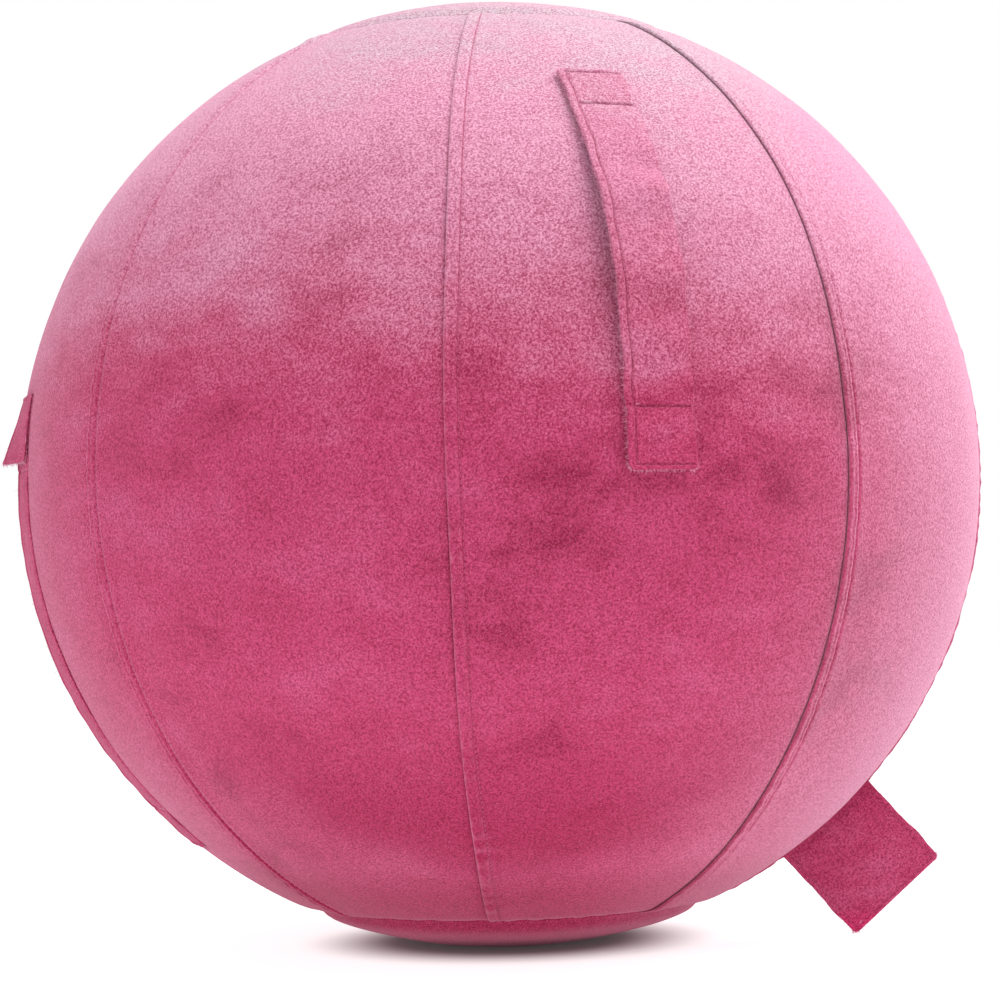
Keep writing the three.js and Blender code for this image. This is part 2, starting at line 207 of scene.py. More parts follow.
# A gore's edges, as (distance in from the seam, height above the ball's face), in millimetres
LIP = [
    (1.8, -1.0), (0.8, -0.8), (0.1, -0.35), (-0.3, 0.35), (-0.25, 1.05), (0.15, 1.65), (0.9, 1.98),
    (1.9, 2.0), (3.1, 1.75), (4.0, 1.5), (4.9, 1.75), (6.0, 1.7), (6.9, 1.2), (7.5, 0.45),
    (8.0, 0.2), (8.6, 0.55), (9.8, 0.8), (12.0, 0.6), (16.0, 0.25), (22.0, 0.0),
]
TUCK = [
    (-2.0, -1.75), (-1.6, -1.6), (-1.2, -1.42), (-0.8, -1.2), (-0.4, -0.98), (0.0, -0.78), (0.5, -0.6),
    (1.2, -0.45), (2.2, -0.33), (3.2, -0.24), (4.2, -0.17), (5.2, -0.12), (6.2, -0.08), (7.2, -0.05),
    (8.0, -0.03), (9.0, -0.02), (10.5, -0.01), (12.5, 0.0), (16.0, 0.0), (22.0, 0.0),
]
LIP_INSIDE = [(2.8, -1.4), (9.0, -1.3), (22.0, -1.5)]
TUCK_INSIDE = [(-1.4, -3.4), (9.0, -1.7), (22.0, -1.5)]
BODY_COLUMNS = 26
INSIDE_COLUMNS = 4
PANEL_OVERLAP = 0.4 * MM  # how far a gore's end and a cap's edge run past each other

# The zip's seam, as in the CAD model
ZIP_AZIMUTH = 157.5
ZIP_TOP = 22.0
ZIP_BOTTOM = -56.0
ZIP_HALF_WIDTH = 7.0 * MM
ZIP_END_TAPER = 1.2


# The ball's surface


def on_ball(azimuth, latitude, above):
    """Points a distance above the ball's surface."""
    azimuth, latitude, above = np.broadcast_arrays(azimuth, latitude, above)
    a, b = np.radians(azimuth), np.radians(latitude)
    ring = (RADIUS + above) * np.cos(b)
    rise = (np.where(latitude < 0, BOTTOM_DROP, TOP_RISE) + above) * np.sin(b)
    return np.stack([ring * np.sin(a), -ring * np.cos(a), CENTRE + rise], axis=-1)


def turn(distance, latitude):
    """The azimuth, in degrees, that a distance along the ring at a latitude takes."""
    return np.degrees(distance / (RADIUS * np.cos(np.radians(latitude))))


def arc(latitude):
    """The distance up the ball's side from its widest ring to a latitude."""
    return RADIUS * np.radians(latitude)


def latitude_at(along):
    """The latitude at a distance up the ball's side."""
    return np.degrees(np.asarray(along) / RADIUS)


def corners_of(node):
    """The vertices of a CAD node, (n, 3)."""
    return np.array([v.co for v in frame["nodes"][node].data.vertices])


def joint_row(name):
    return next(row for row in frame["joints"] if row["name"] == name)


def span(node):
    """A CAD node's (lowest azimuth, highest azimuth, lowest latitude, highest latitude)."""
    x, y, z = corners_of(node).T
    azimuth = np.degrees(np.arctan2(x, -y))
    rise = z - CENTRE
    reach = np.where(rise < 0, BOTTOM_DROP, TOP_RISE)
    latitude = np.degrees(np.arctan2(rise / reach, np.hypot(x, y) / RADIUS))
    return azimuth.min(), azimuth.max(), latitude.min(), latitude.max()


def unit(vectors):
    return vectors / np.linalg.norm(vectors, axis=-1, keepdims=True)


def ripple(points, size, seed, waves=20):
    """Smooth, repeatable unevenness of about -1 to 1 at points (..., n), with bumps size across."""
    rng = np.random.default_rng(seed)
    points = np.asarray(points, float)
    direction = unit(rng.normal(size=(waves, points.shape[-1])))
    direction *= (math.pi / size * rng.uniform(0.6, 1.5, waves))[:, None]
    phase = rng.uniform(0, 2 * math.pi, waves)
    return np.sin(points @ direction.T + phase).sum(axis=-1) / math.sqrt(waves)


def smooth(low, high, x):
    """0 below low, 1 above high, and smooth between."""
    t = np.clip((np.asarray(x, float) - low) / (high - low), 0, 1)
    return t * t * (3 - 2 * t)


def circle(count):
    """Evenly spread angles, all the way round."""
    return np.linspace(0, 2 * math.pi, count, endpoint=False)


# Where the strap on the left presses into the ball
LEFT_AZIMUTH = -90.0
left_low, left_high = span("left_handle_bottom_end")[2], span("left_handle_top_end")[3]
STRAP_HALF = 20.5 * MM
STRAP_DENT = 3.0 * MM


def settle(azimuth, latitude):
    """How far the cover is pulled in at the caps' seams and pressed in under the strap on the left."""
    from_seam = arc(np.abs(np.abs(latitude) - CAP_SEAM))
    depth = np.where(latitude < 0, BOTTOM_DIP, TOP_DIP)
    seam = depth * np.exp(-((from_seam / DIP_WIDTH) ** 2))
    aside = np.abs(azimuth - LEFT_AZIMUTH) / turn(1.0, latitude)
    across = 1 - smooth(STRAP_HALF - 2 * MM, STRAP_HALF + 14 * MM, aside)
    above_low = smooth(left_low - 3, left_low + 1, latitude)
    along = above_low * (1 - smooth(left_high - 1, left_high + 3, latitude))
    return -seam - STRAP_DENT * across * along


# Meshes


def quads(index):
    """The faces of a grid of vertex numbers (rows, columns)."""
    corners = [index[:-1, :-1], index[:-1, 1:], index[1:, 1:], index[1:, :-1]]
    return np.stack(corners, axis=-1).reshape(-1, 4)


def loft(rings, closed=False):
    """Points and faces of skins given as rings (skins, rows, points round, 3), capped unless closed."""
    skins, rows, around, _ = rings.shape
    faces = []
    for number in range(skins):
        index = np.arange(rows * around).reshape(rows, around) + number * rows * around
        index = np.concatenate([index, index[:, :1]], axis=1)
        if closed:
            index = np.concatenate([index, index[:1]])
        faces.extend(quads(index).tolist())
        if not closed:
            faces.append(index[0, -2::-1].tolist())
            faces.append(index[-1, :-1].tolist())
    return rings.reshape(-1, 3), faces


def add_object(name, data):
    made = bpy.data.objects.new(name, data)
    bpy.context.scene.collection.objects.link(made)
    return made


def make_object(name, points, faces):
    mesh = bpy.data.meshes.new(name)
    mesh.from_pydata(np.asarray(points).tolist(), [], faces)
    mesh.validate()
    work = bmesh.new()
    work.from_mesh(mesh)
    bmesh.ops.recalc_face_normals(work, faces=work.faces)
    work.to_mesh(mesh)
    work.free()
    mesh.polygons.foreach_set("use_smooth", [len(face.vertices) == 4 for face in mesh.polygons])
    return add_object(name, mesh)


def set_chart(made, flat):
    """Keeps each vertex's place on the flat cloth, (across, along) in metres, for a woven material."""
    mesh = made.data
    corners = np.empty(len(mesh.loops), int)
    mesh.loops.foreach_get("vertex_index", corners)
    mesh.uv_layers.new(name="cloth").data.foreach_set("uv", flat[corners].ravel())


def finish_piece(made, body, material, slot, *replaced):
    """Gives a piece its finish, rides it on its body and hides the CAD nodes that it stands for."""
    made.data.materials.append(material)
    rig.slot(made, slot)
    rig.ride(made, body)
    if replaced:
        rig.replaces(made, *replaced)


# Materials


class Nodes:
    """A material's node tree, with short ways to add and join nodes."""

    def __init__(self, name):
        self.material = bpy.data.materials.new(name)
        self.material.use_nodes = True
        self.tree = self.material.node_tree
        self.shader = self.tree.nodes["Principled BSDF"]
        coordinates = self.tree.nodes.new("ShaderNodeTexCoord")
        self.place = coordinates.outputs["Object"]
        self.flat = coordinates.outputs["UV"]

    def set(self, **values):
        for name, value in values.items():
            self.shader.inputs[name.replace("_", " ")].default_value = value

    def join(self, source, target):
        self.tree.links.new(source, target)

    def stretched(self, scale):
        node = self.tree.nodes.new("ShaderNodeMapping")
        node.inputs["Scale"].default_value = scale
        self.join(self.place, node.inputs["Vector"])
        return node.outputs["Vector"]

    def noise(self, scale, detail=3.0, roughness=0.55, distortion=0.0, vector=None):
        node = self.tree.nodes.new("ShaderNodeTexNoise")
        node.inputs["Scale"].default_value = scale
        node.inputs["Detail"].default_value = detail
        node.inputs["Roughness"].default_value = roughness
        node.inputs["Distortion"].default_value = distortion
        self.join(vector or self.place, node.inputs["Vector"])
        return node.outputs["Fac"]

    def ramp(self, value, low, high, first=0.0, last=1.0, kind="SMOOTHSTEP"):
        """value spread from low..high to first..last."""
        node = self.tree.nodes.new("ShaderNodeMapRange")
        node.interpolation_type = kind
        limits = {"From Min": low, "From Max": high, "To Min": first, "To Max": last}
        for name, limit in limits.items():
            node.inputs[name].default_value = limit
        self.join(value, node.inputs["Value"])
        return node.outputs["Result"]

    def math(self, operation, first, second):
        node = self.tree.nodes.new("ShaderNodeMath")
        node.operation = operation
        for socket, value in zip(node.inputs, (first, second)):
            if isinstance(value, (int, float)):
                socket.default_value = value
            else:
                self.join(value, socket)
        return node.outputs[0]

    def plus(self, first, second):
        return self.math("ADD", first, second)

    def times(self, first, second):
        return self.math("MULTIPLY", first, second)

    def mix(self, share, first, second, blend="MIX"):
        node = self.tree.nodes.new("ShaderNodeMix")
        node.data_type = "RGBA"
        node.blend_type = blend
        sockets = node.inputs[0], node.inputs[6], node.inputs[7]
        for socket, value in zip(sockets, (share, first, second)):
            if isinstance(value, (int, float)):
                socket.default_value = value
            elif isinstance(value, tuple):
                socket.default_value = (*value, 1.0)
            else:
                self.join(value, socket)
        return node.outputs[2]

    def toward(self, direction):
        """-1 to 1 across the ball from the side away from a direction to the side that faces it."""
        node = self.tree.nodes.new("ShaderNodeVectorMath")
        node.operation = "DOT_PRODUCT"
        unit = Vector(direction).normalized() / RADIUS
        node.inputs[1].default_value = unit
        self.join(self.place, node.inputs[0])
        return self.math("SUBTRACT", node.outputs["Value"], CENTRE * unit.z)

    def facing(self):
        """0 where the surface is seen square on, 1 at its outline."""
        node = self.tree.nodes.new("ShaderNodeLayerWeight")
        node.inputs["Blend"].default_value = 0.5
        return node.outputs["Facing"]

    def bump(self, height, distance, strength, below=None):
        node = self.tree.nodes.new("ShaderNodeBump")
        node.inputs["Distance"].default_value = distance
        node.inputs["Strength"].default_value = strength
        self.join(height, node.inputs["Height"])
        if below:
            self.join(below, node.inputs["Normal"])
        return node.outputs["Normal"]


def from_srgb(*levels):
    """Linear colour of 0 to 255 display levels."""
    shares = [level / 255 for level in levels]
    return tuple(s / 12.92 if s <= 0.04045 else ((s + 0.055) / 1.055) ** 2.4 for s in shares)


# The pile's colours, and those painted on it as light and shade. Each nap is its deep, its middle and its light
# patches
COVER_NAP = from_srgb(158, 46, 84), from_srgb(188, 69, 111), from_srgb(196, 85, 126)
STRAP_NAP = from_srgb(158, 42, 80), from_srgb(186, 66, 108), from_srgb(196, 88, 128)
SHEEN_AND_FLECK_BLUSH = from_srgb(207, 148, 173)  # painted sheen and painted light where the pile meets the light, painted highlight on ridges, and real pale fibre flecks
PAINTED_TOP_PALE = from_srgb(184, 174, 178)  # painted light at the top of the ball
SHADE = from_srgb(164, 34, 80)  # painted shade on the lower gores
PAINTED_CAP_BOUNCE = from_srgb(200, 58, 108)  # painted bounce light on the bottom cap
# painted shade in hollows and creases
PAINTED_FOLD_SHADE = from_srgb(120, 16, 52)
BETWEEN_FIBRES = (0.52, 0.3, 0.39)  # darkens the colour under it


def nap_of(n):
    """The cloudy lie of the pile, about 0.3 to 0.7."""
    clouds = n.noise(6.5, 3.0, 0.5, 0.25, n.stretched((1.0, 1.0, 1.4)))
    patches = n.noise(20.0, 4.0, 0.55, 0.3, n.stretched((1.0, 1.0, 1.5)))
    streaks = n.noise(55.0, 3.0, 0.6, 0.2, n.stretched((0.6, 0.6, 1.2)))
    nap = n.plus(n.times(clouds, 0.4), n.times(patches, 0.38))
    return n.plus(nap, n.times(streaks, 0.22))


def paint_top_light(n, colour, nap, speckle, amount):
    """Painted light from above: the colour blushes above the middle and pales at the top, unevenly with the nap."""
    height = n.toward((0.12, -0.05, 1.0))
    lying = n.times(n.math("SUBTRACT", nap, 0.5), 0.85)
    uneven = n.plus(lying, n.times(n.math("SUBTRACT", speckle, 0.5), 0.75))
    level = n.plus(height, uneven)
    colour = n.mix(n.times(n.ramp(level, 0.03, 0.63), amount), colour, SHEEN_AND_FLECK_BLUSH)
    return n.mix(n.times(n.ramp(level, 0.6, 1.0), amount), colour, PAINTED_TOP_PALE)


def paint_edge_sheen(n, colour, amount):
    """Painted sheen round the outline, and painted raking light on the side towards +X; both read Layer Weight's
    Facing, so they move with the view.
    """
    turned = n.facing()
    # painted sheen at the outline, fading out on the lower gores
    rim = n.times(n.ramp(turned, 0.35, 1.0), n.ramp(n.toward((0, 0, 1)), -0.9, -0.62))
    # painted light raking the side towards +X
    painted_raked_light = n.times(n.ramp(turned, 0.08, 0.55), n.ramp(n.toward((1.0, -0.3, -0.15)), 0.2, 0.9))
    share = n.plus(n.times(rim, amount * 0.5), n.times(painted_raked_light, amount * 0.85))
    return n.mix(share, colour, SHEEN_AND_FLECK_BLUSH)


def paint_under_shade(n, colour, amount):
    """Painted shade on the lower gores, less near the outline, and painted bounce light on the cap below."""
    rise = n.toward((0, 0, 1))
    low = n.times(n.ramp(rise, -0.4, -0.75), n.ramp(n.facing(), 0.55, 0.35))
    lowest = n.ramp(rise, -0.74, -0.84)
    share = n.times(n.math("MAXIMUM", low, lowest), amount)
    return n.mix(n.ramp(rise, -0.9, -0.94), n.mix(share, colour, SHADE), PAINTED_CAP_BOUNCE)


def velvet(name, colours, top_light_share, edge, shade, sheen):
    """Short-pile velvet: cloudy nap and fine grain, with painted light on top, painted sheen round the outline,
    painted shade underneath and in its folds, and painted bounce light on the bottom cap.
    """
    n = Nodes(name)
    deep, middle, light = colours
    nap = nap_of(n)
    fibres = n.noise(1600.0, 2.0, 0.6)
    grain = n.noise(720.0, 2.0, 0.6)
    speckle = n.plus(n.times(grain, 0.55), n.times(fibres, 0.45))
    colour = n.mix(n.ramp(nap, 0.34, 0.5), deep, middle)
    colour = n.mix(n.ramp(nap, 0.5, 0.66), colour, light)
    colour = paint_top_light(n, colour, nap, speckle, top_light_share)
    # edge sets the painted sheen and raked light near the outline, shade the painted shade underneath
    colour = paint_edge_sheen(n, paint_under_shade(n, colour, shade), edge)
    colour = n.mix(n.ramp(speckle, 0.38, 0.6), n.mix(1.0, colour, BETWEEN_FIBRES, "MULTIPLY"), colour)
    # pale fibre flecks, the cloth's own colour
    colour = n.mix(n.times(n.ramp(fibres, 0.56, 0.74), 0.35), colour, SHEEN_AND_FLECK_BLUSH)
    folds = n.tree.nodes.new("ShaderNodeNewGeometry").outputs["Pointiness"]
    # painted shade in hollows and creases, and painted highlight on ridges, both by pointiness
    colour = n.mix(n.times(n.ramp(folds, 0.49, 0.44), 0.7), colour, PAINTED_FOLD_SHADE)
    colour = n.mix(n.times(n.ramp(folds, 0.52, 0.6), 0.5), colour, SHEEN_AND_FLECK_BLUSH)
    n.join(colour, n.shader.inputs["Base Color"])
    n.join(n.bump(speckle, 0.55 * MM, 0.6, n.bump(nap, 1.0 * MM, 0.3)), n.shader.inputs["Normal"])
    n.set(Roughness=0.95, Sheen_Weight=sheen, Sheen_Roughness=0.42)
    n.set(Sheen_Tint=(1.0, 0.66, 0.8, 1.0), Specular_IOR_Level=0.08)
    return n.material


def thread_material(name, dark, light):
    """Twisted polyester thread."""
    n = Nodes(name)
    twist = n.noise(2400.0, 2.0)
    n.join(n.mix(twist, dark, light), n.shader.inputs["Base Color"])
    n.join(n.bump(twist, 0.1 * MM, 0.4), n.shader.inputs["Normal"])
    n.set(Roughness=0.6, Sheen_Weight=0.2, Specular_IOR_Level=0.3)
    return n.material


def tape_material():
    """Herringbone tape, woven from the chart kept in the mesh."""
    n = Nodes("zip_tape")
    apart = n.tree.nodes.new("ShaderNodeSeparateXYZ")
    n.join(n.flat, apart.inputs[0])
    fold = n.math("PINGPONG", apart.outputs["X"], 1.3 * MM)
    slant = n.plus(apart.outputs["Y"], fold)
    twill = n.math("SINE", n.times(slant, 2 * math.pi / (0.9 * MM)), 0.0)
    ribs = n.ramp(twill, -0.8, 0.9)
    colour = n.mix(ribs, from_srgb(150, 34, 80), from_srgb(196, 72, 118))
    colour = n.mix(n.ramp(n.noise(1400.0), 0.35, 0.7), colour, from_srgb(176, 52, 98))
    n.join(colour, n.shader.inputs["Base Color"])
    n.join(n.bump(ribs, 0.25 * MM, 0.6), n.shader.inputs["Normal"])
    n.set(Roughness=0.85, Sheen_Weight=0.3, Specular_IOR_Level=0.2)
    return n.material


def moulded(name, colour, worn, roughness, grain, depth, metallic=0.0):
    """Moulded plastic, nylon or a plated casting: mottled, unevenly glossy and finely grained."""
    n = Nodes(name)
    mottle = n.noise(90.0, 4.0, 0.6)
    n.join(n.mix(n.ramp(mottle, 0.35, 0.7), worn, colour), n.shader.inputs["Base Color"])
    gloss = n.ramp(n.noise(240.0, 3.0), 0.0, 1.0, roughness * 0.8, min(roughness * 1.25, 1.0), "LINEAR")
    n.join(gloss, n.shader.inputs["Roughness"])
    n.join(n.bump(n.noise(grain, 2.0), depth, 0.35), n.shader.inputs["Normal"])
    n.set(Metallic=metallic, Specular_IOR_Level=0.4)
    return n.material


tape_weave = tape_material()
nylon = moulded("zip_coil", from_srgb(206, 84, 130), from_srgb(188, 62, 110), 0.42, 2600.0, 0.05 * MM)
nickel = moulded("zip_metal", (0.72, 0.72, 0.74), (0.6, 0.6, 0.62), 0.3, 1900.0, 0.04 * MM, 1.0)
pvc = moulded("bladder_pvc", from_srgb(164, 168, 172), from_srgb(150, 154, 160), 0.45, 700.0, 0.08 * MM)
valve_plastic = moulded(
    "valve_plastic", from_srgb(240, 240, 236), from_srgb(228, 228, 222), 0.38, 1500.0, 0.05 * MM
)
plush = velvet("plush", COVER_NAP, top_light_share=1.0, edge=0.65, shade=0.85, sheen=0.28)
strap_plush = velvet("strap_plush", STRAP_NAP, top_light_share=0.7, edge=0.12, shade=0.0, sheen=0.16)
thread = thread_material("thread", from_srgb(150, 30, 74), from_srgb(214, 92, 140))
pile = thread_material("pile", from_srgb(200, 96, 138), from_srgb(236, 172, 198))


# Cover panels


def opening(latitude):
    """1 along the zip, 0 where its seam is closed."""
    beyond = np.maximum(np.maximum(latitude - ZIP_TOP, ZIP_BOTTOM - latitude), 0)
    return np.clip(1 - beyond / ZIP_END_TAPER, 0, 1)


def seam_wander(seam, latitude):
    """How far a hand-sewn seam strays to the right of its meridian."""
    if seam % 360 == ZIP_AZIMUTH:
        return np.zeros_like(latitude)
    return 0.5 * MM * ripple(latitude[..., None], 26.0, int(seam) + 500)


def puff(seam, latitude):
    """How much fuller or flatter than usual the band along a seam is."""
    along = arc(latitude)[..., None]
    ends = 1 - 0.55 * smooth(CAP_SEAM - 4, CAP_SEAM, np.abs(latitude))
    fine = 0.16 * ripple(along, 7 * MM, int(seam) + 40)
    return ends * (1 + fine + 0.1 * ripple(along, 30 * MM, int(seam) + 41))


def edge_points(profile, side, seam, latitude):
    """Azimuth and height of a profile along a seam, as a gore's left edge (side 1) or right (-1)."""
    distance, height = np.array(profile).T * MM
    zipped = opening(latitude) if seam % 360 == ZIP_AZIMUTH else np.zeros_like(latitude)
    aside = seam_wander(seam, latitude) + side * (distance[None, :] + ZIP_HALF_WIDTH * zipped)
    proud = np.where(height > 0, height * puff(seam, latitude), height)
    return seam + turn(aside, latitude), proud


def right_edge(lip, tuck, seam, latitude):
    """A gore's right edge is tucked under its neighbour, but is a lip along the zip."""
    azimuth, height = edge_points(tuck, -1, seam, latitude)
    if seam % 360 == ZIP_AZIMUTH:
        lip_azimuth, lip_height = edge_points(lip, -1, seam, latitude)
        share = opening(latitude)
        azimuth = azimuth + share * (lip_azimuth - azimuth)
        height = height + share * (lip_height - height)
    return azimuth[:, ::-1], height[:, ::-1]


def between(first, last, count):
    """Columns spread evenly between two edge columns, without those."""
    share = np.linspace(0, 1, count + 2)[None, 1:-1]
    return first + share * (last - first)


def gore_latitudes(zipped):
    end = CAP_SEAM + latitude_at(PANEL_OVERLAP)
    rows = np.linspace(-end, end, SEAM_ROWS)
    close = latitude_at(np.array([0.4, 0.9, 1.6]) * MM)
    extra = [end - close, close - end]
    if zipped:
        taper = np.linspace(0, ZIP_END_TAPER, 6)
        extra += [ZIP_TOP + taper, ZIP_BOTTOM - taper]
    return np.unique(np.concatenate([rows, *extra]))


def rolled_in(from_edge):
    """How far the last millimetres of a panel roll into the seam of a cap."""
    return -ROLL_DEPTH * (1 - np.clip(from_edge / ROLL_WIDTH, 0, 1)) ** 2


def swell(points):
    """Gentle unevenness of stuffed-looking fabric over the whole cover."""
    return SWELL * ripple(points, 70 * MM, 3) + FINE_SWELL * ripple(points, 24 * MM, 4)


def gathers(azimuth, latitude):
    """Fine radial puckers next to the caps' seams."""
    from_seam = arc(np.abs(np.abs(latitude) - CAP_SEAM))
    around = arc(azimuth)[..., None] * math.cos(math.radians(CAP_SEAM))
    return GATHER_DEPTH * np.exp(-from_seam / GATHER_REACH) * ripple(around, GATHER_SIZE, 9)


def cover_shape(azimuth, latitude):
    """Height of the cover's face apart from the profiles of its seams."""
    return settle(azimuth, latitude) + swell(on_ball(azimuth, latitude, 0)) + gathers(azimuth, latitude)


def gore_skin(seams, latitude, lip, tuck, depth, columns):
    """Azimuths and heights across one skin of a gore, from its left seam to its right."""
    left_azimuth, left_height = edge_points(lip, 1, seams[0], latitude)
    right_azimuth, right_height = right_edge(lip, tuck, seams[1], latitude)
    body = between(left_azimuth[:, -1:], right_azimuth[:, :1], columns)
    azimuth = np.concatenate([left_azimuth, body, right_azimuth], axis=1)
    height = np.concatenate([left_height, np.full_like(body, -depth), right_height], axis=1)
    return azimuth, height


def make_gore(number):
    step = 360 / GORES
    seams = step * (number - 0.5), step * (number + 0.5)
    latitude = gore_latitudes(ZIP_AZIMUTH in seams)[:, None]
    from_end = arc(latitude.max() - np.abs(latitude))
    azimuth, height = gore_skin(seams, latitude, LIP, TUCK, 0.0, BODY_COLUMNS)
    outside = on_ball(azimuth, latitude, height + cover_shape(azimuth, latitude) + rolled_in(from_end))
    azimuth, height = gore_skin(seams, latitude, LIP_INSIDE, TUCK_INSIDE, FABRIC, INSIDE_COLUMNS)
    inside = on_ball(azimuth, latitude, height + settle(azimuth, latitude))
    rings = np.concatenate([outside, inside[:, ::-1]], axis=1)
    made = make_object(f"cover_gore_{number + 1}", *loft(rings[None]))
    finish_piece(made, "cover", plush, "plush", f"gore_{number + 1}")
    width, length = float(arc(step)), float(2 * arc(CAP_SEAM))
    area = 2 * RADIUS * width * math.sin(math.radians(CAP_SEAM))
    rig.sheet(made, flat=(width, length), held="stretched", rests_on=["bladder"], area=area)


def make_cap(name, top):
    sign = 1 if top else -1
    start = CAP_SEAM - latitude_at(PANEL_OVERLAP)
    close = latitude_at(np.array([0.0, 0.4, 0.9, 1.6, 2.6, 4.0, 6.0]) * MM)
    latitude = np.concatenate([start + close, np.linspace(start + 1.5, 89.6, 36)])[:, None] * sign
    azimuth = np.linspace(0, 360, 192, endpoint=False)[None, :] + 0 * latitude
    from_edge = arc(np.abs(latitude) - start)
    fullness = CAP_FULLNESS * smooth(0, 9 * MM, from_edge) * (1 - smooth(16 * MM, 60 * MM, from_edge))
    height = cover_shape(azimuth, latitude) + fullness + rolled_in(from_edge)
    outside = on_ball(azimuth, latitude, height)
    inside = on_ball(azimuth, latitude, settle(azimuth, latitude) - FABRIC - 1.2 * MM)
    outside[..., 2] = np.maximum(outside[..., 2], 0)
    inside[..., 2] = np.maximum(inside[..., 2], FABRIC)
    rows = [inside[::-1], outside] if top else [outside[::-1], inside]
    made = make_object(f"cover_{name}", *loft(np.concatenate(rows)[None]))
    finish_piece(made, "cover", plush, "plush", name)
    across = float(2 * arc(90 - CAP_SEAM))
    area = math.pi / 4 * across**2
    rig.sheet(made, flat=(across, across), held="stretched", rests_on=["bladder"], area=area)


# Stitches

STITCH_PITCH = 4.0 * MM
STITCH_LENGTH = 3.0 * MM
THREAD_RADIUS = 0.24 * MM
GROOVE = 0.32 * MM  # the height of the cover's face along a row of topstitching
ROW_PAST_ZIP = 9.0 * MM


def stitches(chart, start, end, height):
    """Rings of a row of stitches between two points of a chart; height gives the surface under them."""
    start, end = np.array(start, float), np.array(end, float)
    length = np.linalg.norm(end - start)
    ahead = (end - start) / length
    aside = np.array([-ahead[1], ahead[0]])
    count = max(int(length / STITCH_PITCH), 1)
    middle = (np.arange(count) + 0.5) * length / count
    rows = np.array([-0.5, -0.42, -0.2, 0.0, 0.2, 0.42, 0.5])
    bow = np.array([-1.1, -0.4, 0.5, 0.8, 0.5, -0.4, -1.1]) * THREAD_RADIUS
    size = np.array([0.45, 0.9, 1.0, 1.0, 1.0, 0.9, 0.45]) * THREAD_RADIUS
    around = circle(6)
    along = middle[:, None] + rows * STITCH_LENGTH
    base = start + along[..., None] * ahead
    spot = base[:, :, None, :] + (size[:, None] * np.cos(around))[None, :, :, None] * aside
    lift = height(base[..., 0], base[..., 1])[..., None] + bow[:, None] + size[:, None] * np.sin(around)
    return chart(spot[..., 0], spot[..., 1], lift)


def seam_chart(seam):
    """(distance right of a seam, distance up it, height) to points."""

    def chart(across, along, height):
        latitude = latitude_at(along)
        azimuth = seam + turn(across + seam_wander(seam, latitude), latitude)
        points = on_ball(azimuth, latitude, 0)
        return on_ball(azimuth, latitude, height + settle(azimuth, latitude) + swell(points))

    return chart


def seam_rows(seam):
    """The (place across, lower end, upper end) of each row of stitches along a seam."""
    reach = arc(CAP_SEAM - 0.9)
    if seam != ZIP_AZIMUTH:
        return [(BAND_STITCH, -reach, reach)]
    beside_zip, bottom, top = BAND_STITCH + ZIP_HALF_WIDTH, arc(ZIP_BOTTOM), arc(ZIP_TOP)
    return [
        (beside_zip, bottom, top),
        (-beside_zip, bottom, top),
        (BAND_STITCH, -reach, bottom - ROW_PAST_ZIP),
        (BAND_STITCH, top + ROW_PAST_ZIP, reach),
    ]


def make_topstitch(number):
    seam = 360 / GORES * (number - 0.5)
    chart = seam_chart(seam)
    rows = []
    for across, low, high in seam_rows(seam):
        rows.append(stitches(chart, (across, low), (across, high), lambda u, v: GROOVE + 0 * v))
    made = make_object(f"topstitch_{number + 1}", *loft(np.concatenate(rows)))
    finish_piece(made, "cover", thread, "plush")


for number in range(GORES):
    make_gore(number)
    make_topstitch(number)
make_cap("top_cap", True)
make_cap("bottom_cap", False)


# Sewn flat pieces: straps, flap and tab

STRAP_THICKNESS = 3.8 * MM
EDGE_ROW = 4.8 * MM  # from a strap's open edge to the row of stitches along it
END_ROW = 3.4 * MM
RIM = 1.1 * MM  # how far in a cut edge is rounded
ROW_DEPTH = 1.3 * MM
ROW_WIDTH = 0.8 * MM
THINNEST = 0.8 * MM
CREASE = 2.3 * MM  # how deep a row sewn through a strap and the cover pulls the strap in
CORNER = 3.5 * MM
LAYERS = ((0.0, 0.47, -0.25 * MM), (0.53, 1.0, 0.0))  # low and high share of the thickness, and shift
FIBRE_LENGTH = 1.8 * MM
FIBRE_SPACING = 0.45 * MM
END_FIBRES = 110
CORNER_FIBRES = 40
TAIL_LIFT = 3.0 * MM
FRONT_BOW = 7.5 * MM
FRONT_ASIDE = 4.3 * MM  # how far left of the gore's middle the front strap is, at the widest ring
FRONT_DRIFT = 0.037 * MM  # how much further left it gets with each degree up the ball
FRONT_WRINKLES = 1.9 * MM
LEFT_BOW = 0.8 * MM


def grid_lines(low, high, step, marks):
    """Positions from low to high, a step apart and closer together at both ends and near the marks."""
    near = np.array([-1.7, -1.1, -0.6, -0.25, 0.0, 0.25, 0.6, 1.1, 1.7]) * MM
    edge = np.array([0.12, 0.3, 0.6, 1.0, 1.5]) * MM
    spots = [np.arange(low, high, step), low + edge, high - edge, *(mark + near for mark in marks)]
    inner = np.unique(np.round(np.concatenate(spots) / (0.05 * MM))) * 0.05 * MM
    inner = inner[(inner > low + 0.06 * MM) & (inner < high - 0.06 * MM)]
    return np.concatenate([[low], inner, [high]])


def round_edge(distance, size):
    """The share of its thickness that a piece has at a distance in from a rounded edge."""
    share = np.clip(distance / size, 0, 1)
    return np.sqrt(np.maximum(1 - (1 - share) ** 2, 0.004))


def corner_inset(from_end):
    """How far a piece's side edge draws in near an end with rounded corners."""
    inside = np.clip(from_end, 0, CORNER)
    return CORNER - np.sqrt(CORNER**2 - (CORNER - inside) ** 2)


def from_row(across, along, row):
    """Distance from a row of stitches, given as its two ends."""
    start, end = np.array(row)
    ahead = end - start
    across, along = across - start[0], along - start[1]
    share = np.clip((across * ahead[0] + along * ahead[1]) / (ahead @ ahead), 0, 1)
    return np.hypot(across - share * ahead[0], along - share * ahead[1])


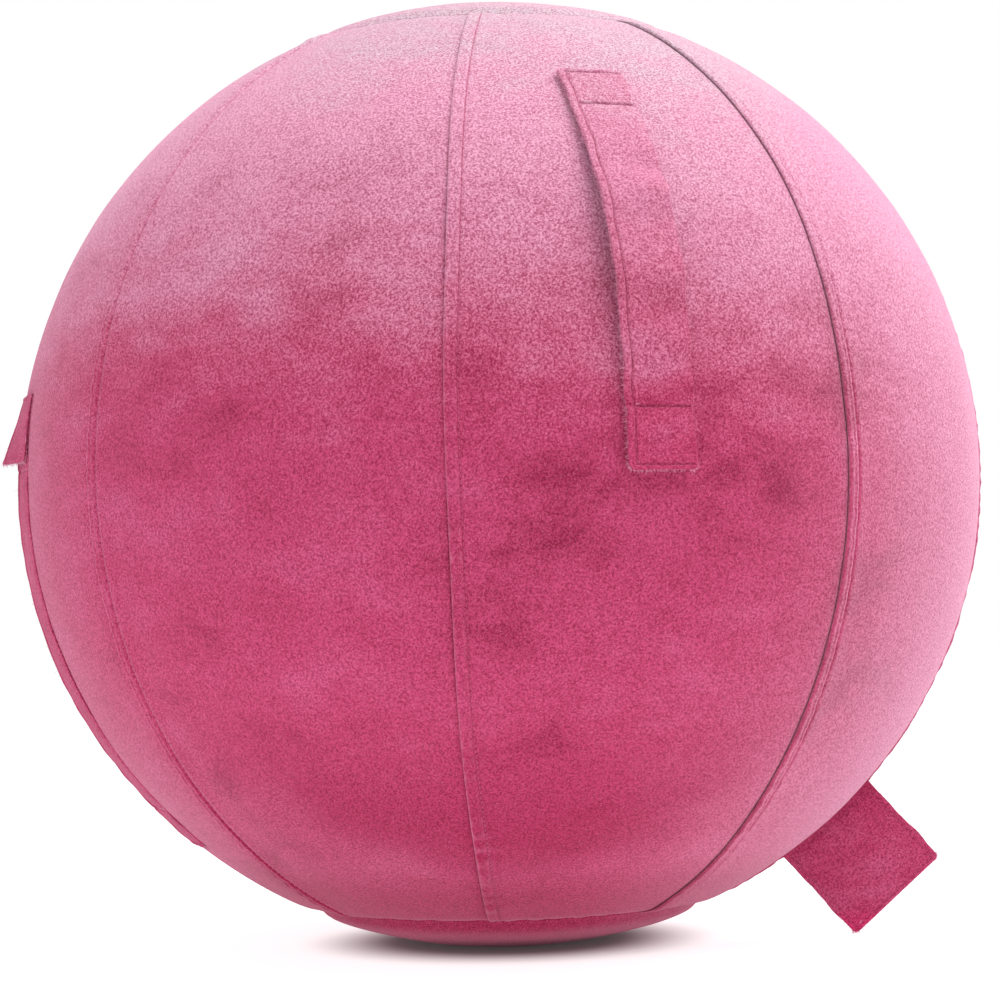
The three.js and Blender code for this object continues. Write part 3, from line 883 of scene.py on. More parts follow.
def fibres(chart, spots, ways, heights, length, seed):
    """Rings of stray pile fibres that stand out at spots (n, 2) of a chart, along the ways (n, 2)."""
    rng = np.random.default_rng(seed)
    count = len(spots)
    ways = ways + rng.normal(0, 0.5, ways.shape)
    reach = length * rng.uniform(0.35, 1.0, count)
    rise, curl = rng.normal(0.1, 0.5, count), rng.normal(0, 0.3, count)
    aside = unit(np.stack([-ways[:, 1], ways[:, 0]], axis=1))
    around = circle(3)
    rings = []
    for share, size in ((-0.3, 0.12 * MM), (0.4, 0.11 * MM), (1.0, 0.04 * MM)):
        middle = spots + (share * reach)[:, None] * ways
        lift = heights + reach * (share * rise + share**2 * curl)
        spot = middle[:, None, :] + size * np.cos(around)[None, :, None] * aside[:, None, :]
        rings.append(chart(spot[..., 0], spot[..., 1], lift[:, None] + size * np.sin(around)))
    return np.stack(rings, axis=1)


def edge_rows(half, ends, loose):
    """Rows of stitches across the loose ends and along the open edge, each as two (across, along)."""
    low, high = ends
    open_side, far_side = EDGE_ROW - half, half - 2.5 * MM
    rows = []
    if loose[0]:
        rows.append(((open_side, low + END_ROW), (far_side, low + END_ROW)))
    if loose[1]:
        rows.append(((open_side, high - END_ROW), (far_side, high - END_ROW)))
    start = low + (END_ROW if loose[0] else 0.5 * MM)
    end = high - (END_ROW if loose[1] else 0.5 * MM)
    rows.append(((open_side, start), (open_side, end)))
    return rows


class SewnPiece:
    """A doubled flat piece in a chart (across, along, height), with its rows of stitches.

    loose tells whether its low and its high end are free. body(across, along) gives its thickness away
    from its rows, and pressed(across, along) how far a seam sewn through it pulls its face in. A
    two-faced piece is seen from both sides and has its middle at height 0, others have their underside
    there.
    """

    def __init__(self, chart, half, ends, loose, body, pressed=None, seed=1, rows=None, two_faced=False):
        self.chart, self.half, self.ends, self.loose = chart, half, ends, loose
        self.body, self.pressed, self.seed = body, pressed, seed
        self.below = 0.5 if two_faced else 0.0
        self.rows = rows or edge_rows(half, ends, loose)

    def thickness(self, across, along):
        spots = np.stack(np.broadcast_arrays(across, along), axis=-1)
        thick = self.body(across, along) * (1 + 0.05 * ripple(spots, 13 * MM, self.seed))
        nearest = np.min([from_row(across, along, row) for row in self.rows], axis=0)
        thick = thick - ROW_DEPTH * np.exp(-((nearest / ROW_WIDTH) ** 2))
        if self.pressed:
            thick = thick - self.pressed(across, along)
        return np.maximum(thick, THINNEST)

    def from_end(self, along):
        """Distance from the nearest loose end."""
        low, high = self.ends
        below = along - low if self.loose[0] else np.full_like(along, 1.0)
        above = high - along if self.loose[1] else np.full_like(along, 1.0)
        return np.minimum(below, above)

    def layer(self, low, high, shift):
        """Rings of one layer, between two shares of the thickness and shifted from the other layer."""
        spots = [(round(u, 5), round(v, 5)) for row in self.rows for u, v in row]
        inner = {u for u, _ in spots if abs(u) < self.half - 3 * MM}
        across = grid_lines(-self.half, self.half, 1.6 * MM, inner)
        along = grid_lines(*self.ends, 2.0 * MM, {v for _, v in spots})
        across, along = np.meshgrid(across, along)
        rim = round_edge(self.half - np.abs(across), RIM) * round_edge(self.from_end(along), RIM)
        thick = self.thickness(across, along)
        middle, reach = thick * ((low + high) / 2 - self.below), thick * (high - low) / 2
        wave = 0.35 * MM * ripple(along[..., None], 17 * MM, self.seed + 7 + int(shift / MM * 10))
        width = self.half + wave + shift - corner_inset(self.from_end(along))
        across = across * width / self.half
        top = self.chart(across, along, middle + reach * rim)
        under = self.chart(across, along, middle - reach * rim)
        return np.concatenate([top, under[:, ::-1]], axis=1)[None]

    def stitching(self):
        """Rings of the rows of stitches, on the top face or on both."""

        def face(across, along):
            return self.thickness(across, along) * (1 - self.below)

        found = [stitches(self.chart, *row, face) for row in self.rows]
        if self.below:
            found += [stitches(lambda u, v, h: self.chart(u, v, -h), *row, face) for row in self.rows]
        return np.concatenate(found)

    def rim(self, rng):
        """Spots on the open edge, the loose ends and their corners, and the ways that point off them."""
        low, high = self.ends
        count = int((high - low) / FIBRE_SPACING)
        along = rng.uniform(low + 1 * MM, high - 1 * MM, count)
        sides = rng.choice([-1.0, 1.0], count) if self.below else np.full(count, -1.0)
        spots = [np.stack([sides * (self.half - 0.3 * MM), along], axis=1)]
        ways = [np.stack([sides, 0 * along], axis=1)]
        for loose, end, way in zip(self.loose, self.ends, (-1, 1)):
            if not loose:
                continue
            across = rng.uniform(-1, 1, END_FIBRES) * (self.half - CORNER)
            spots.append(np.stack([across, np.full(END_FIBRES, end - way * 0.3 * MM)], axis=1))
            ways.append(np.tile([0.0, way], (END_FIBRES, 1)))
            for side in (-1, 1):
                turned_out = rng.uniform(0, math.pi / 2, CORNER_FIBRES)
                out = np.stack([side * np.cos(turned_out), way * np.sin(turned_out)], axis=1)
                centre = np.array([side * (self.half - CORNER), end - way * CORNER])
                spots.append(centre + (CORNER - 0.3 * MM) * out)
                ways.append(out)
        return np.concatenate(spots), np.concatenate(ways)

    def fuzz(self):
        """Rings of the stray fibres of its cut edges."""
        rng = np.random.default_rng(self.seed + 200)
        spots, ways = self.rim(rng)
        inner = spots - 1.5 * MM * ways
        share = rng.uniform(0.08, 0.95, len(spots)) - self.below
        heights = self.thickness(inner[:, 0], inner[:, 1]) * share
        return fibres(self.chart, spots, ways, heights, FIBRE_LENGTH, self.seed + 201)

    def build(self, name):
        skins = Skins()
        for layer in LAYERS:
            skins.add(self.layer(*layer))
        skins.add(self.fuzz(), 2)
        skins.add(self.stitching(), 1)
        return skins.build(name, strap_plush, thread, pile)


class Skins:
    """Closed skins that together make one object, each with one of its materials."""

    def __init__(self):
        self.points, self.faces, self.kinds, self.count = [], [], [], 0

    def add(self, rings, kind=0):
        points, faces = loft(rings)
        self.points.append(points)
        self.faces.extend([self.count + vertex for vertex in face] for face in faces)
        self.kinds.extend([kind] * len(faces))
        self.count += len(points)

    def build(self, name, *materials):
        made = make_object(name, np.concatenate(self.points), self.faces)
        for material in materials:
            made.data.materials.append(material)
        made.data.polygons.foreach_set("material_index", self.kinds)
        return made


def up_the_ball(centre, base):
    """A chart (across, up the ball, height); centre is the azimuth and base the height of its zero."""

    def chart(across, along, height):
        latitude = latitude_at(along)
        azimuth = centre(latitude) + turn(across, latitude)
        return on_ball(azimuth, latitude, base(across, latitude) + height)

    return chart


def centre_spot(chart, along):
    """The point of a chart's centreline at a distance along it."""
    return tuple(chart(*np.array([0.0, along, 0.0])).tolist())


def strap_body(across, along):
    """A strap is fullest at its open edge, where its folded layers end, and thin at its other edge."""
    ridge = 0.1 * (1 - smooth(EDGE_ROW - STRAP_HALF, EDGE_ROW + 2 * MM - STRAP_HALF, across))
    thin = 0.12 * smooth(STRAP_HALF - 7 * MM, STRAP_HALF, across)
    return STRAP_THICKNESS * (1 + ridge - thin) + 0 * along


def sewn_down(latitude):
    """How far the seam at a latitude pulls a strap's face in, between its two edges."""

    def pressed(across, along):
        inside = smooth(4.5 * MM, 7 * MM, STRAP_HALF + across) * smooth(MM, 3 * MM, STRAP_HALF - across)
        away = np.abs(along - arc(latitude))
        depth = 0.6 * np.exp(-((away / (0.9 * MM)) ** 2)) + 0.4 * np.exp(-away / (4.5 * MM))
        return CREASE * (0.2 + 0.8 * inside) * depth

    return pressed


def strap(name, node, chart, seams, body, seed):
    """A carry strap: two loose ends, and a grip whose halves bend from the cover to the grip's body."""
    bottom, lower, upper, top = seams
    middle = (lower + upper) / 2

    def stretch(part, low, high, seam, loose=(False, False)):
        piece = SewnPiece(chart, STRAP_HALF, (arc(low), arc(high)), loose, body, sewn_down(seam), seed)
        made = piece.build(f"{name}_{part}")
        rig.slot(made, "strap_plush")
        return made

    top_end = stretch("top", upper, top, upper, (False, True))
    lower_half = stretch("grip_lower", lower, middle, lower)
    upper_half = stretch("grip_upper", middle, upper, upper)
    bottom_end = stretch("bottom", bottom, lower, lower, (True, False))
    at = [centre_spot(chart, arc(latitude)) for latitude in (lower, middle, upper)]
    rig.ride(top_end, "cover")
    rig.blend(lower_half, "cover", node, at[0], at[1])
    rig.blend(upper_half, "cover", node, at[2], at[1])
    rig.replaces(top_end, f"{node}_top_end")
    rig.replaces(lower_half, node)
    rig.replaces(upper_half, node)
    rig.replaces(bottom_end, f"{node}_bottom_end")
    return bottom_end


def seams_of(node):
    """The latitudes of a strap's lower end, lower seam, upper seam and upper end."""
    grip = span(node)
    ends = span(f"{node}_bottom_end"), span(f"{node}_top_end")
    return ends[0][2], (ends[0][3] + grip[2]) / 2, (grip[3] + ends[1][2]) / 2, ends[1][3]


def make_front_strap():
    seams = seams_of("front_handle")
    bottom, lower, upper, _ = seams

    def centre(latitude):
        return turn(-FRONT_ASIDE - FRONT_DRIFT * latitude, latitude)

    def base(across, latitude):
        share = np.clip((latitude - lower) / (upper - lower), 0, 1)
        loose = np.clip((lower - latitude) / (lower - bottom), 0, 1)
        bow = np.sin(math.pi * share)
        lean = (0.7 - 0.5 * across / STRAP_HALF) * bow
        return 0.5 * MM + FRONT_BOW * bow**1.5 * (0.9 + 0.1 * lean) + TAIL_LIFT * loose**2

    def body(across, along):
        latitude = latitude_at(along)
        window = smooth(8, 13, latitude) * (1 - smooth(30, 37, latitude))
        window = window * (0.4 + 0.6 * smooth(-0.01, 0.014, across))
        waves = np.sin(2 * math.pi * (latitude - 15.8) / 9) + 0.4 * ripple(along[..., None], 22 * MM, 31)
        return strap_body(across, along) + FRONT_WRINKLES * window * waves

    chart = up_the_ball(centre, base)
    tail = strap("front_strap", "front_handle", chart, seams, body, 11)
    start, end = (centre_spot(chart, arc(latitude)) for latitude in (lower - 0.3, lower - 2.2))
    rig.blend(tail, "cover", "front_handle_end", start, end)


def make_left_strap():
    seams = seams_of("left_handle")
    _, lower, upper, _ = seams

    def centre(latitude):
        return LEFT_AZIMUTH + 0 * latitude

    def base(across, latitude):
        share = np.clip((latitude - lower) / (upper - lower), 0, 1)
        azimuth = LEFT_AZIMUTH + turn(across, latitude)
        return settle(azimuth, latitude) + 0.3 * MM + LEFT_BOW * np.sin(math.pi * share) ** 1.5

    def body(across, along):
        under_flap = smooth(upper + 1.2, upper + 2.6, latitude_at(along))
        return strap_body(across, along) * (1 - 0.5 * under_flap)

    chart = up_the_ball(centre, base)
    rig.ride(strap("left_strap", "left_handle", chart, seams, body, 51), "cover")
    make_flap(centre, base)


def make_flap(centre, base):
    """The left strap's turned-back upper end, which hangs further off the ball at its far corner."""
    _, _, end, fold = span("left_handle_flap")
    near, far = 0.4 * MM, 10.0 * MM

    def flap_base(across, latitude):
        down = np.clip((fold - latitude) / (fold - end), 0, 1)
        hang = near + (far - near) * (0.5 - across / (2 * STRAP_HALF))
        return base(across, latitude) + 0.96 * STRAP_THICKNESS + hang * down**1.5

    def body(across, along):
        fold_in = np.exp(-np.abs(along - arc(fold)) / (1.6 * MM))
        return strap_body(across, along) * (0.72 - 0.2 * fold_in)

    chart = up_the_ball(centre, flap_base)
    ends = arc(end), arc(fold + 0.4)
    piece = SewnPiece(chart, STRAP_HALF - 0.4 * MM, ends, (True, False), body, seed=71, two_faced=True)
    flap = piece.build("left_strap_flap")
    start, stop = (centre_spot(chart, arc(latitude)) for latitude in (fold, fold - 1.4))
    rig.slot(flap, "strap_plush")
    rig.replaces(flap, "left_handle_flap")
    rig.blend(flap, "cover", "left_flap", start, stop)
    doubled = float(2 * (ends[1] - ends[0]))
    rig.sheet(flap, flat=(2 * STRAP_HALF, doubled), held="hung", rests_on=["left_strap_top"])


TAB_AZIMUTH = 67.5
TAB_THICKNESS = 3.6 * MM
TAB_ASIDE = 1.2 * MM
TAB_BEND = 1.6 * MM
TAB_TUCK = 7.0 * MM  # how deep the tab's root runs into its seam
TAB_ROW = 4.0 * MM  # from the tab's sides to its rows of stitches


def tab_chart():
    """The tab's chart, with across along its seam and along out of the ball, its half width and reach."""
    corners = corners_of("grip_tab")
    side = np.array([math.cos(math.radians(TAB_AZIMUTH)), math.sin(math.radians(TAB_AZIMUTH)), 0])
    axis = np.array(joint_row("tab_fold")["axis"])
    out = np.cross(side, axis)
    root, reach = (corners @ out).min(), np.ptp(corners @ out)
    half = np.ptp(corners @ axis) / 2
    middle = (corners @ axis).min() + half
    aside = (corners @ side).mean() - TAB_ASIDE

    def chart(across, along, height):
        place = (root + along)[..., None] * out + (middle + across)[..., None] * axis
        bend = TAB_BEND * smooth(0, 1, along / reach) * np.sin(across / half * 1.3 + 0.5)
        return place + (aside + bend + height)[..., None] * side

    return chart, half, reach


def make_tab():
    chart, half, reach = tab_chart()

    def body(across, along):
        puffed = np.sin(np.clip((half - np.abs(across)) / half, 0, 1) * math.pi / 2) ** 0.5
        tucked = 1 - smooth(-2 * MM, 5 * MM, along)
        return TAB_THICKNESS * (0.85 + 0.3 * puffed) * (1 - 0.5 * tucked)

    left, right, top = TAB_ROW - half, half - TAB_ROW, reach - END_ROW
    rows = [((left, top), (right, top)), *(((side, 1 * MM), (side, top)) for side in (left, right))]
    ends = -TAB_TUCK, reach
    piece = SewnPiece(chart, half, ends, (False, True), body, seed=91, rows=rows, two_faced=True)
    tab = piece.build("grip_tab_sewn")
    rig.slot(tab, "strap_plush")
    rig.replaces(tab, "grip_tab")
    start, end = (centre_spot(chart, along) for along in (-0.5 * MM, 6 * MM))
    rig.blend(tab, "cover", "tab", start, end)
    doubled = 2 * (reach + TAB_TUCK)
    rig.sheet(tab, flat=(2 * half, doubled), held="folded", rests_on=["cover_gore_2", "cover_gore_3"])


make_front_strap()
make_left_strap()
make_tab()


# Zip

zip_centre = joint_row("zip_travel")["pos_m"]
ZIP_WAY = math.radians(ZIP_AZIMUTH)
ZIP_OUTWARD = np.array([math.sin(ZIP_WAY), -math.cos(ZIP_WAY), 0.0])
ZIP_RIGHT = np.array([math.cos(ZIP_WAY), math.sin(ZIP_WAY), 0.0])
UPWARD = np.array([0.0, 0.0, 1.0])
ZIP_OUT = np.dot(zip_centre, ZIP_OUTWARD)
ZIP_LEVEL = zip_centre[2]
TAPE_INNER = 0.15 * MM  # from the zip's centreline to the tape
TAPE_OUTER = 12.5 * MM
TAPE_TOP = -1.85 * MM
TAPE_THICKNESS = 0.65 * MM
TAPE_BEYOND = 7 * MM  # how far the tape runs on past the zip's opening
COIL_PITCH = 1.5 * MM
COIL_MIDDLE = 1.4 * MM  # from the zip's centreline to the middle of a turn
COIL_REACH = 1.15 * MM
COIL_LEVEL = -0.45 * MM
COIL_RISE = 0.6 * MM
WIRE = 0.33 * MM


def on_zip(across, along, height):
    """Points of the zip's chart: right of its centreline, up its arc, and above the panels' face."""
    reach = zip_radius + height - across**2 / (2 * RADIUS)
    out = ZIP_OUT + reach * np.cos(along / zip_radius)
    rise = ZIP_LEVEL + reach * np.sin(along / zip_radius)
    return out[..., None] * ZIP_OUTWARD + across[..., None] * ZIP_RIGHT + rise[..., None] * UPWARD


def zip_place(point):
    """A point's distance from the zip's centre, and its angle up the zip's arc."""
    out, rise = np.dot(point, ZIP_OUTWARD) - ZIP_OUT, point[2] - ZIP_LEVEL
    return math.hypot(out, rise), math.atan2(rise, out)


zip_radius = zip_place(on_ball(ZIP_AZIMUTH, ZIP_TOP, 0))[0]


def zip_span(node):
    """The lowest and the highest place of a CAD node up the zip's arc."""
    places = [zip_place(point)[1] * zip_radius for point in corners_of(node)]
    return min(places), max(places)


def make_tape(name, side):
    low, high = zip_span(f"zip_tape_{name}")
    low, high = low - TAPE_BEYOND, high + TAPE_BEYOND
    columns = np.linspace(TAPE_INNER, TAPE_OUTER, 9)
    along, across = np.meshgrid(np.linspace(low, high, 240), columns, indexing="ij")
    beaded = 0.25 * MM * np.exp(-((across - TAPE_INNER) / (0.8 * MM)))
    top = on_zip(side * across, along, TAPE_TOP + beaded)
    under = on_zip(side * across, along, TAPE_TOP - TAPE_THICKNESS + 0 * across)
    made = make_object(f"tape_{name}", *loft(np.concatenate([top, under[:, ::-1]], axis=1)[None]))
    flat = np.stack([across, along], axis=-1)
    set_chart(made, np.concatenate([flat, flat[:, ::-1]], axis=1).reshape(-1, 2))
    finish_piece(made, "cover", tape_weave, "zip_tape", f"zip_tape_{name}")
    flat = TAPE_OUTER - TAPE_INNER, high - low
    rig.sheet(made, flat=flat, held="stretched", rests_on=["cover_gore_4", "cover_gore_5"])


def make_coil(name, side):
    """A wound nylon wire whose turns bulge over the zip's centreline between those of the other coil."""
    low, high = zip_span(f"zip_coil_{name}")
    turns = int((high - low - 2 * WIRE) / COIL_PITCH)
    t = np.linspace(0, turns, turns * 12 + 1)
    shift = 0.0 if side < 0 else COIL_PITCH / 2
    along = low + WIRE + COIL_PITCH * t * (turns - 0.5) / turns + shift
    across = side * (COIL_MIDDLE - COIL_REACH * np.cos(2 * math.pi * t))
    height = COIL_LEVEL + COIL_RISE * np.sin(2 * math.pi * t)
    path = np.stack([across, along, height], axis=-1)
    ahead = unit(np.gradient(path, axis=0))
    first = unit(np.cross(ahead, [0.0, 1.0, 0.0]))
    second = np.cross(ahead, first)
    around = circle(6)
    ring = np.cos(around)[:, None] * first[:, None, :] + np.sin(around)[:, None] * second[:, None, :]
    spots = path[:, None, :] + WIRE * ring
    made = make_object(f"coil_{name}", *loft(on_zip(spots[..., 0], spots[..., 1], spots[..., 2])[None]))
    finish_piece(made, "cover", nylon, "zip_coil", f"zip_coil_{name}")


def rounded_outline(half_width, half_length, power=0.5, taper=0.0, count=48):
    """Points round a rectangle with soft corners, narrower at its low end by the taper."""
    t = circle(count)
    y = half_length * np.sign(np.sin(t)) * np.abs(np.sin(t)) ** power
    x = half_width * np.sign(np.cos(t)) * np.abs(np.cos(t)) ** power
    return np.stack([x * (1 - taper * (0.5 - y / (2 * half_length))), y], axis=-1)


def plate(outline, low, high, bevel):
    """Rings of a flat plate with bevelled edges."""
    centre = (outline.min(axis=0) + outline.max(axis=0)) / 2
    half = np.ptp(outline, axis=0) / 2
    lower = [(low, 1), (low + 0.3 * bevel, 0.3), (low + bevel, 0)]
    upper = [(high - bevel, 0), (high - 0.3 * bevel, 0.3), (high, 1)]
    rings = []
    for level, inset in lower + upper:
        shrunk = centre + (outline - centre) * (1 - inset * bevel / half)
        rings.append(np.concatenate([shrunk, np.full((len(outline), 1), level)], axis=1))
    return np.array(rings)[None]


def swept_bar(path, width, thickness):
    """Rings of a flat bar with rounded edges that follows a path in the plane x = 0."""
    ahead = unit(np.gradient(path, axis=0))
    normal = np.stack([0 * ahead[:, 0], -ahead[:, 2], ahead[:, 1]], axis=-1)
    section = rounded_outline(width / 2, thickness / 2, 0.6, count=20)
    aside = section[None, :, :1] * np.array([1.0, 0.0, 0.0])
    return (path[:, None, :] + aside + section[None, :, 1:] * normal[:, None, :])[None]


def at_zip(node, height):
    """Turns rings made at the origin, with +X right, +Y up the zip and +Z out, to a node on the zip."""
    angle = sum(zip_span(node)) / 2 / zip_radius
    out = math.cos(angle) * ZIP_OUTWARD + math.sin(angle) * UPWARD
    up = math.cos(angle) * UPWARD - math.sin(angle) * ZIP_OUTWARD
    centre = ZIP_OUT * ZIP_OUTWARD + ZIP_LEVEL * UPWARD
    place = centre + (zip_radius + height) * out
    return lambda rings: place + rings @ np.stack([ZIP_RIGHT, up, out])


SLIDER_HALF = 4.7 * MM
SLIDER_LENGTH = 13 * MM
SLIDER_FLOOR = 0.85 * MM  # its top plate's underside, above the panels' face
SLIDER_PLATE = 1.2 * MM
FLANGE_DEPTH = 2.25 * MM
BRIDGE_HALF = 4.0 * MM
BRIDGE_HEIGHT = 3.0 * MM
PULL_WIDTH = 6.6 * MM
PULL_LENGTH = 27 * MM
PULL_THICKNESS = 1.1 * MM
PULL_WINDOW = (3.3 * MM, 6.2 * MM)


def make_slider():
    place = at_zip("zip_slider", SLIDER_FLOOR)
    skins = Skins()
    outline = rounded_outline(SLIDER_HALF, SLIDER_LENGTH / 2, 0.42, taper=0.1)
    skins.add(place(plate(outline, 0.0, SLIDER_PLATE, 0.35 * MM)))
    for side in (-1, 1):
        wall = rounded_outline(0.45 * MM, SLIDER_LENGTH / 2 - 0.8 * MM, 0.3)
        wall[:, 0] += side * (SLIDER_HALF - 0.75 * MM)
        wall[:, 0] -= side * 0.02 * (0.5 * SLIDER_LENGTH - wall[:, 1])
        skins.add(place(plate(wall, -FLANGE_DEPTH, 0.3 * MM, 0.2 * MM)))
    neck = rounded_outline(0.5 * MM, 1.5 * MM, 0.8) + [0, SLIDER_LENGTH / 2 - 1.7 * MM]
    skins.add(place(plate(neck, -0.25 * MM, 0.3 * MM, 0.1 * MM)))
    t = np.linspace(0, math.pi, 32)
    foot = SLIDER_PLATE - 0.5 * MM
    crown = foot + (BRIDGE_HEIGHT + 0.2 * MM) * np.sin(t) ** 0.55
    arch = np.stack([0 * t, -BRIDGE_HALF * np.cos(t), crown], axis=-1)
    skins.add(place(swept_bar(arch, 1.8 * MM, 0.9 * MM)))
    made = skins.build("slider_cast")
    finish_piece(made, "zip_slider", nickel, "zip_metal", "zip_slider")


def make_pull():
    """The pull is a flat casting with a window that the bridge passes through and a raised rim."""
    top = SLIDER_FLOOR + SLIDER_PLATE + 0.35 * MM + PULL_THICKNESS / 2
    place = at_zip("zip_slider", top)
    count = 64
    outer = rounded_outline(PULL_WIDTH / 2, PULL_LENGTH / 2, 0.5, -0.12, count)
    outer = outer + [0, 0.6 * MM - PULL_LENGTH / 2]
    window = rounded_outline(PULL_WINDOW[0] / 2, PULL_WINDOW[1] / 2, 0.35, 0.0, count)
    window = window + [0, -0.6 * MM - PULL_WINDOW[1] / 2]
    face = [(0.0, 0.6), (0.05, 1.0), (0.16, 1.0), (0.24, 0.62), (0.8, 0.62), (0.93, 1.0), (1.0, 0.6)]
    section = face + [(share, -level) for share, level in reversed(face)]
    half = PULL_THICKNESS / 2
    rings = []
    for rim, hole in zip(outer, window):
        rings.append([(*(rim + share * (hole - rim)), level * half) for share, level in section])
    made = make_object("pull_cast", *loft(place(np.array(rings)[None]), closed=True))
    finish_piece(made, "zip_pull", nickel, "zip_metal", "zip_pull")


def make_stop(name):
    place = at_zip(f"zip_{name}_stop", -1.4 * MM)
    skins = Skins()
    skins.add(place(plate(rounded_outline(3.6 * MM, 2.0 * MM, 0.35), 0.0, 1.35 * MM, 0.35 * MM)))
    for spot in (-1.0, 0.0, 1.0):
        ridge = rounded_outline(3.0 * MM, 0.32 * MM, 0.5) + [0, 1.1 * MM * spot]
        skins.add(place(plate(ridge, 1.1 * MM, 1.75 * MM, 0.15 * MM)))
    made = skins.build(f"{name}_stop_crimp")
    finish_piece(made, "cover", nickel, "zip_metal", f"zip_{name}_stop")


for name, side in (("left", -1), ("right", 1)):
    make_tape(name, side)
    make_coil(name, side)
for name in ("bottom", "top"):
    make_stop(name)
make_slider()
make_pull()


# Bladder and valve, under the cover

VALVE_LATITUDE = -20.0
BLADDER_DEPTH = 4.8 * MM
BLADDER_WALL = 1.5 * MM
BLADDER_FOOT = 3.4 * MM
VALVE_HOLE = 11 * MM
RING_DEPTH = 0.25 * MM
RINGS_PER_RADIAN = 90 / (2 * math.pi)


def at_valve():
    """Turns rings made at the origin, with +Z out, to the valve's place on the bladder's skin."""
    skin = on_ball(ZIP_AZIMUTH, VALVE_LATITUDE, -BLADDER_DEPTH)
    out = unit(on_ball(ZIP_AZIMUTH, VALVE_LATITUDE, 0) - skin)
    return lambda rings: skin + rings @ np.stack([ZIP_RIGHT, np.cross(out, ZIP_RIGHT), out])


def round_the_valve(angle, around, above, foot):
    """Points of the ball's surface at an angle from the valve's direction, above its face."""
    rise = math.radians(VALVE_LATITUDE)
    out = math.cos(rise) * ZIP_OUTWARD + math.sin(rise) * UPWARD
    up = np.cross(out, ZIP_RIGHT)
    flat = np.cos(around)[..., None] * ZIP_RIGHT + np.sin(around)[..., None] * up
    toward = np.cos(angle)[..., None] * out + np.sin(angle)[..., None] * flat
    latitude = np.degrees(np.arcsin(np.clip(toward[..., 2], -1, 1)))
    azimuth = np.degrees(np.arctan2(toward[..., 0], -toward[..., 1]))
    points = on_ball(azimuth, latitude, above + settle(azimuth, latitude))
    points[..., 2] = np.maximum(points[..., 2], foot)
    return points


def make_bladder():
    """A hollow ball with fine moulded rings round the axis of its valve."""
    around, angle = np.meshgrid(circle(144), np.linspace(0, 1, 140))
    start, end = VALVE_HOLE / RADIUS, math.radians(179.6)
    angle = start + (end - start) * angle
    wave = RING_DEPTH * np.cos(2 * math.pi * RINGS_PER_RADIAN * angle)
    rings = wave * smooth(0.15, 0.3, angle) * (1 - smooth(2.8, 3.0, angle))
    outside = round_the_valve(angle, around, rings - BLADDER_DEPTH, BLADDER_FOOT)
    inside = round_the_valve(angle, around, -BLADDER_DEPTH - BLADDER_WALL, BLADDER_FOOT + BLADDER_WALL)
    made = make_object("bladder_moulded", *loft(np.concatenate([inside[::-1], outside])[None]))
    finish_piece(made, "cover", pvc, "bladder_pvc", "bladder")


def turned(profile, slices=72):
    """Rings of a solid of revolution; profile is (radius, height), closed on itself."""
    radius, height = np.array(profile).T * MM
    t = circle(slices)[:, None]
    return np.stack([radius * np.cos(t), radius * np.sin(t), height + 0 * t], axis=-1)[None]


def plug_ribs(under):
    """Five ribs on the plug's stem, below its head, each a little narrower than the last."""
    ribs = []
    for rib in range(5):
        level, size = under - 3.0 - 2.6 * rib, 4.7 - 0.12 * rib
        ribs += [(size - 0.45, level + 0.5), (size, level)]
        ribs += [(size - 0.1, level - 0.5), (size - 0.5, level - 1.4)]
    return ribs


def make_valve():
    """A flanged seat moulded into the bladder, and the ribbed stopper pushed into it."""
    seat = [
        (5.5, -2.4), (5.4, -2.8), (5.4, -6.2), (5.7, -6.5), (16.6, -6.5), (17.0, -6.1), (17.0, -4.9),
        (16.6, -4.5), (11.2, -4.5), (10.5, -4.1), (10.4, -3.4), (10.4, -0.4), (10.1, 0.0), (9.7, 0.0),
        (9.4, -0.3), (9.4, -1.9), (9.1, -2.2), (5.9, -2.2),
    ]
    top, under = -0.2, -2.0
    head = [
        (0.05, top), (5.0, top), (5.6, top - 0.35), (7.6, top - 0.35), (8.4, top - 0.1),
        (8.9, top - 0.5), (8.8, under + 0.3), (8.3, under), (5.0, under), (4.8, under - 0.4),
    ]
    tip = [(3.4, top - 18.6), (2.6, top - 19.0), (0.05, top - 19.0)]
    for name, profile in (("seat", seat), ("plug", head + plug_ribs(under) + tip)):
        made = make_object(f"valve_{name}_moulded", *loft(at_valve()(turned(profile)), closed=True))
        finish_piece(made, "cover", valve_plastic, "valve_plastic", f"valve_{name}")


make_bladder()
make_valve()


# Stage, lights and camera


def way_to(azimuth, elevation):
    """The direction from the ball's centre to a place round it, in degrees."""
    a, e = math.radians(azimuth), math.radians(elevation)
    return Vector((math.sin(a) * math.cos(e), -math.cos(a) * math.cos(e), math.sin(e)))


def soft_light(name, azimuth, elevation, distance, size, watts):
    data = bpy.data.lights.new(name, "AREA")
    data.shape = "DISK"
    data.size = size
    data.energy = watts
    light = add_object(name, data)
    away = way_to(azimuth, elevation)
    light.location = Vector((0, 0, CENTRE)) + distance * away
    light.rotation_euler = away.to_track_quat("Z", "Y").to_euler()


FLOOR_RADIUS = 12.0
SHADOW_START, SHADOW_END = 0.075, 0.15  # distances from the ball's foot over which the floor's glow is dimmed, a painted shadow
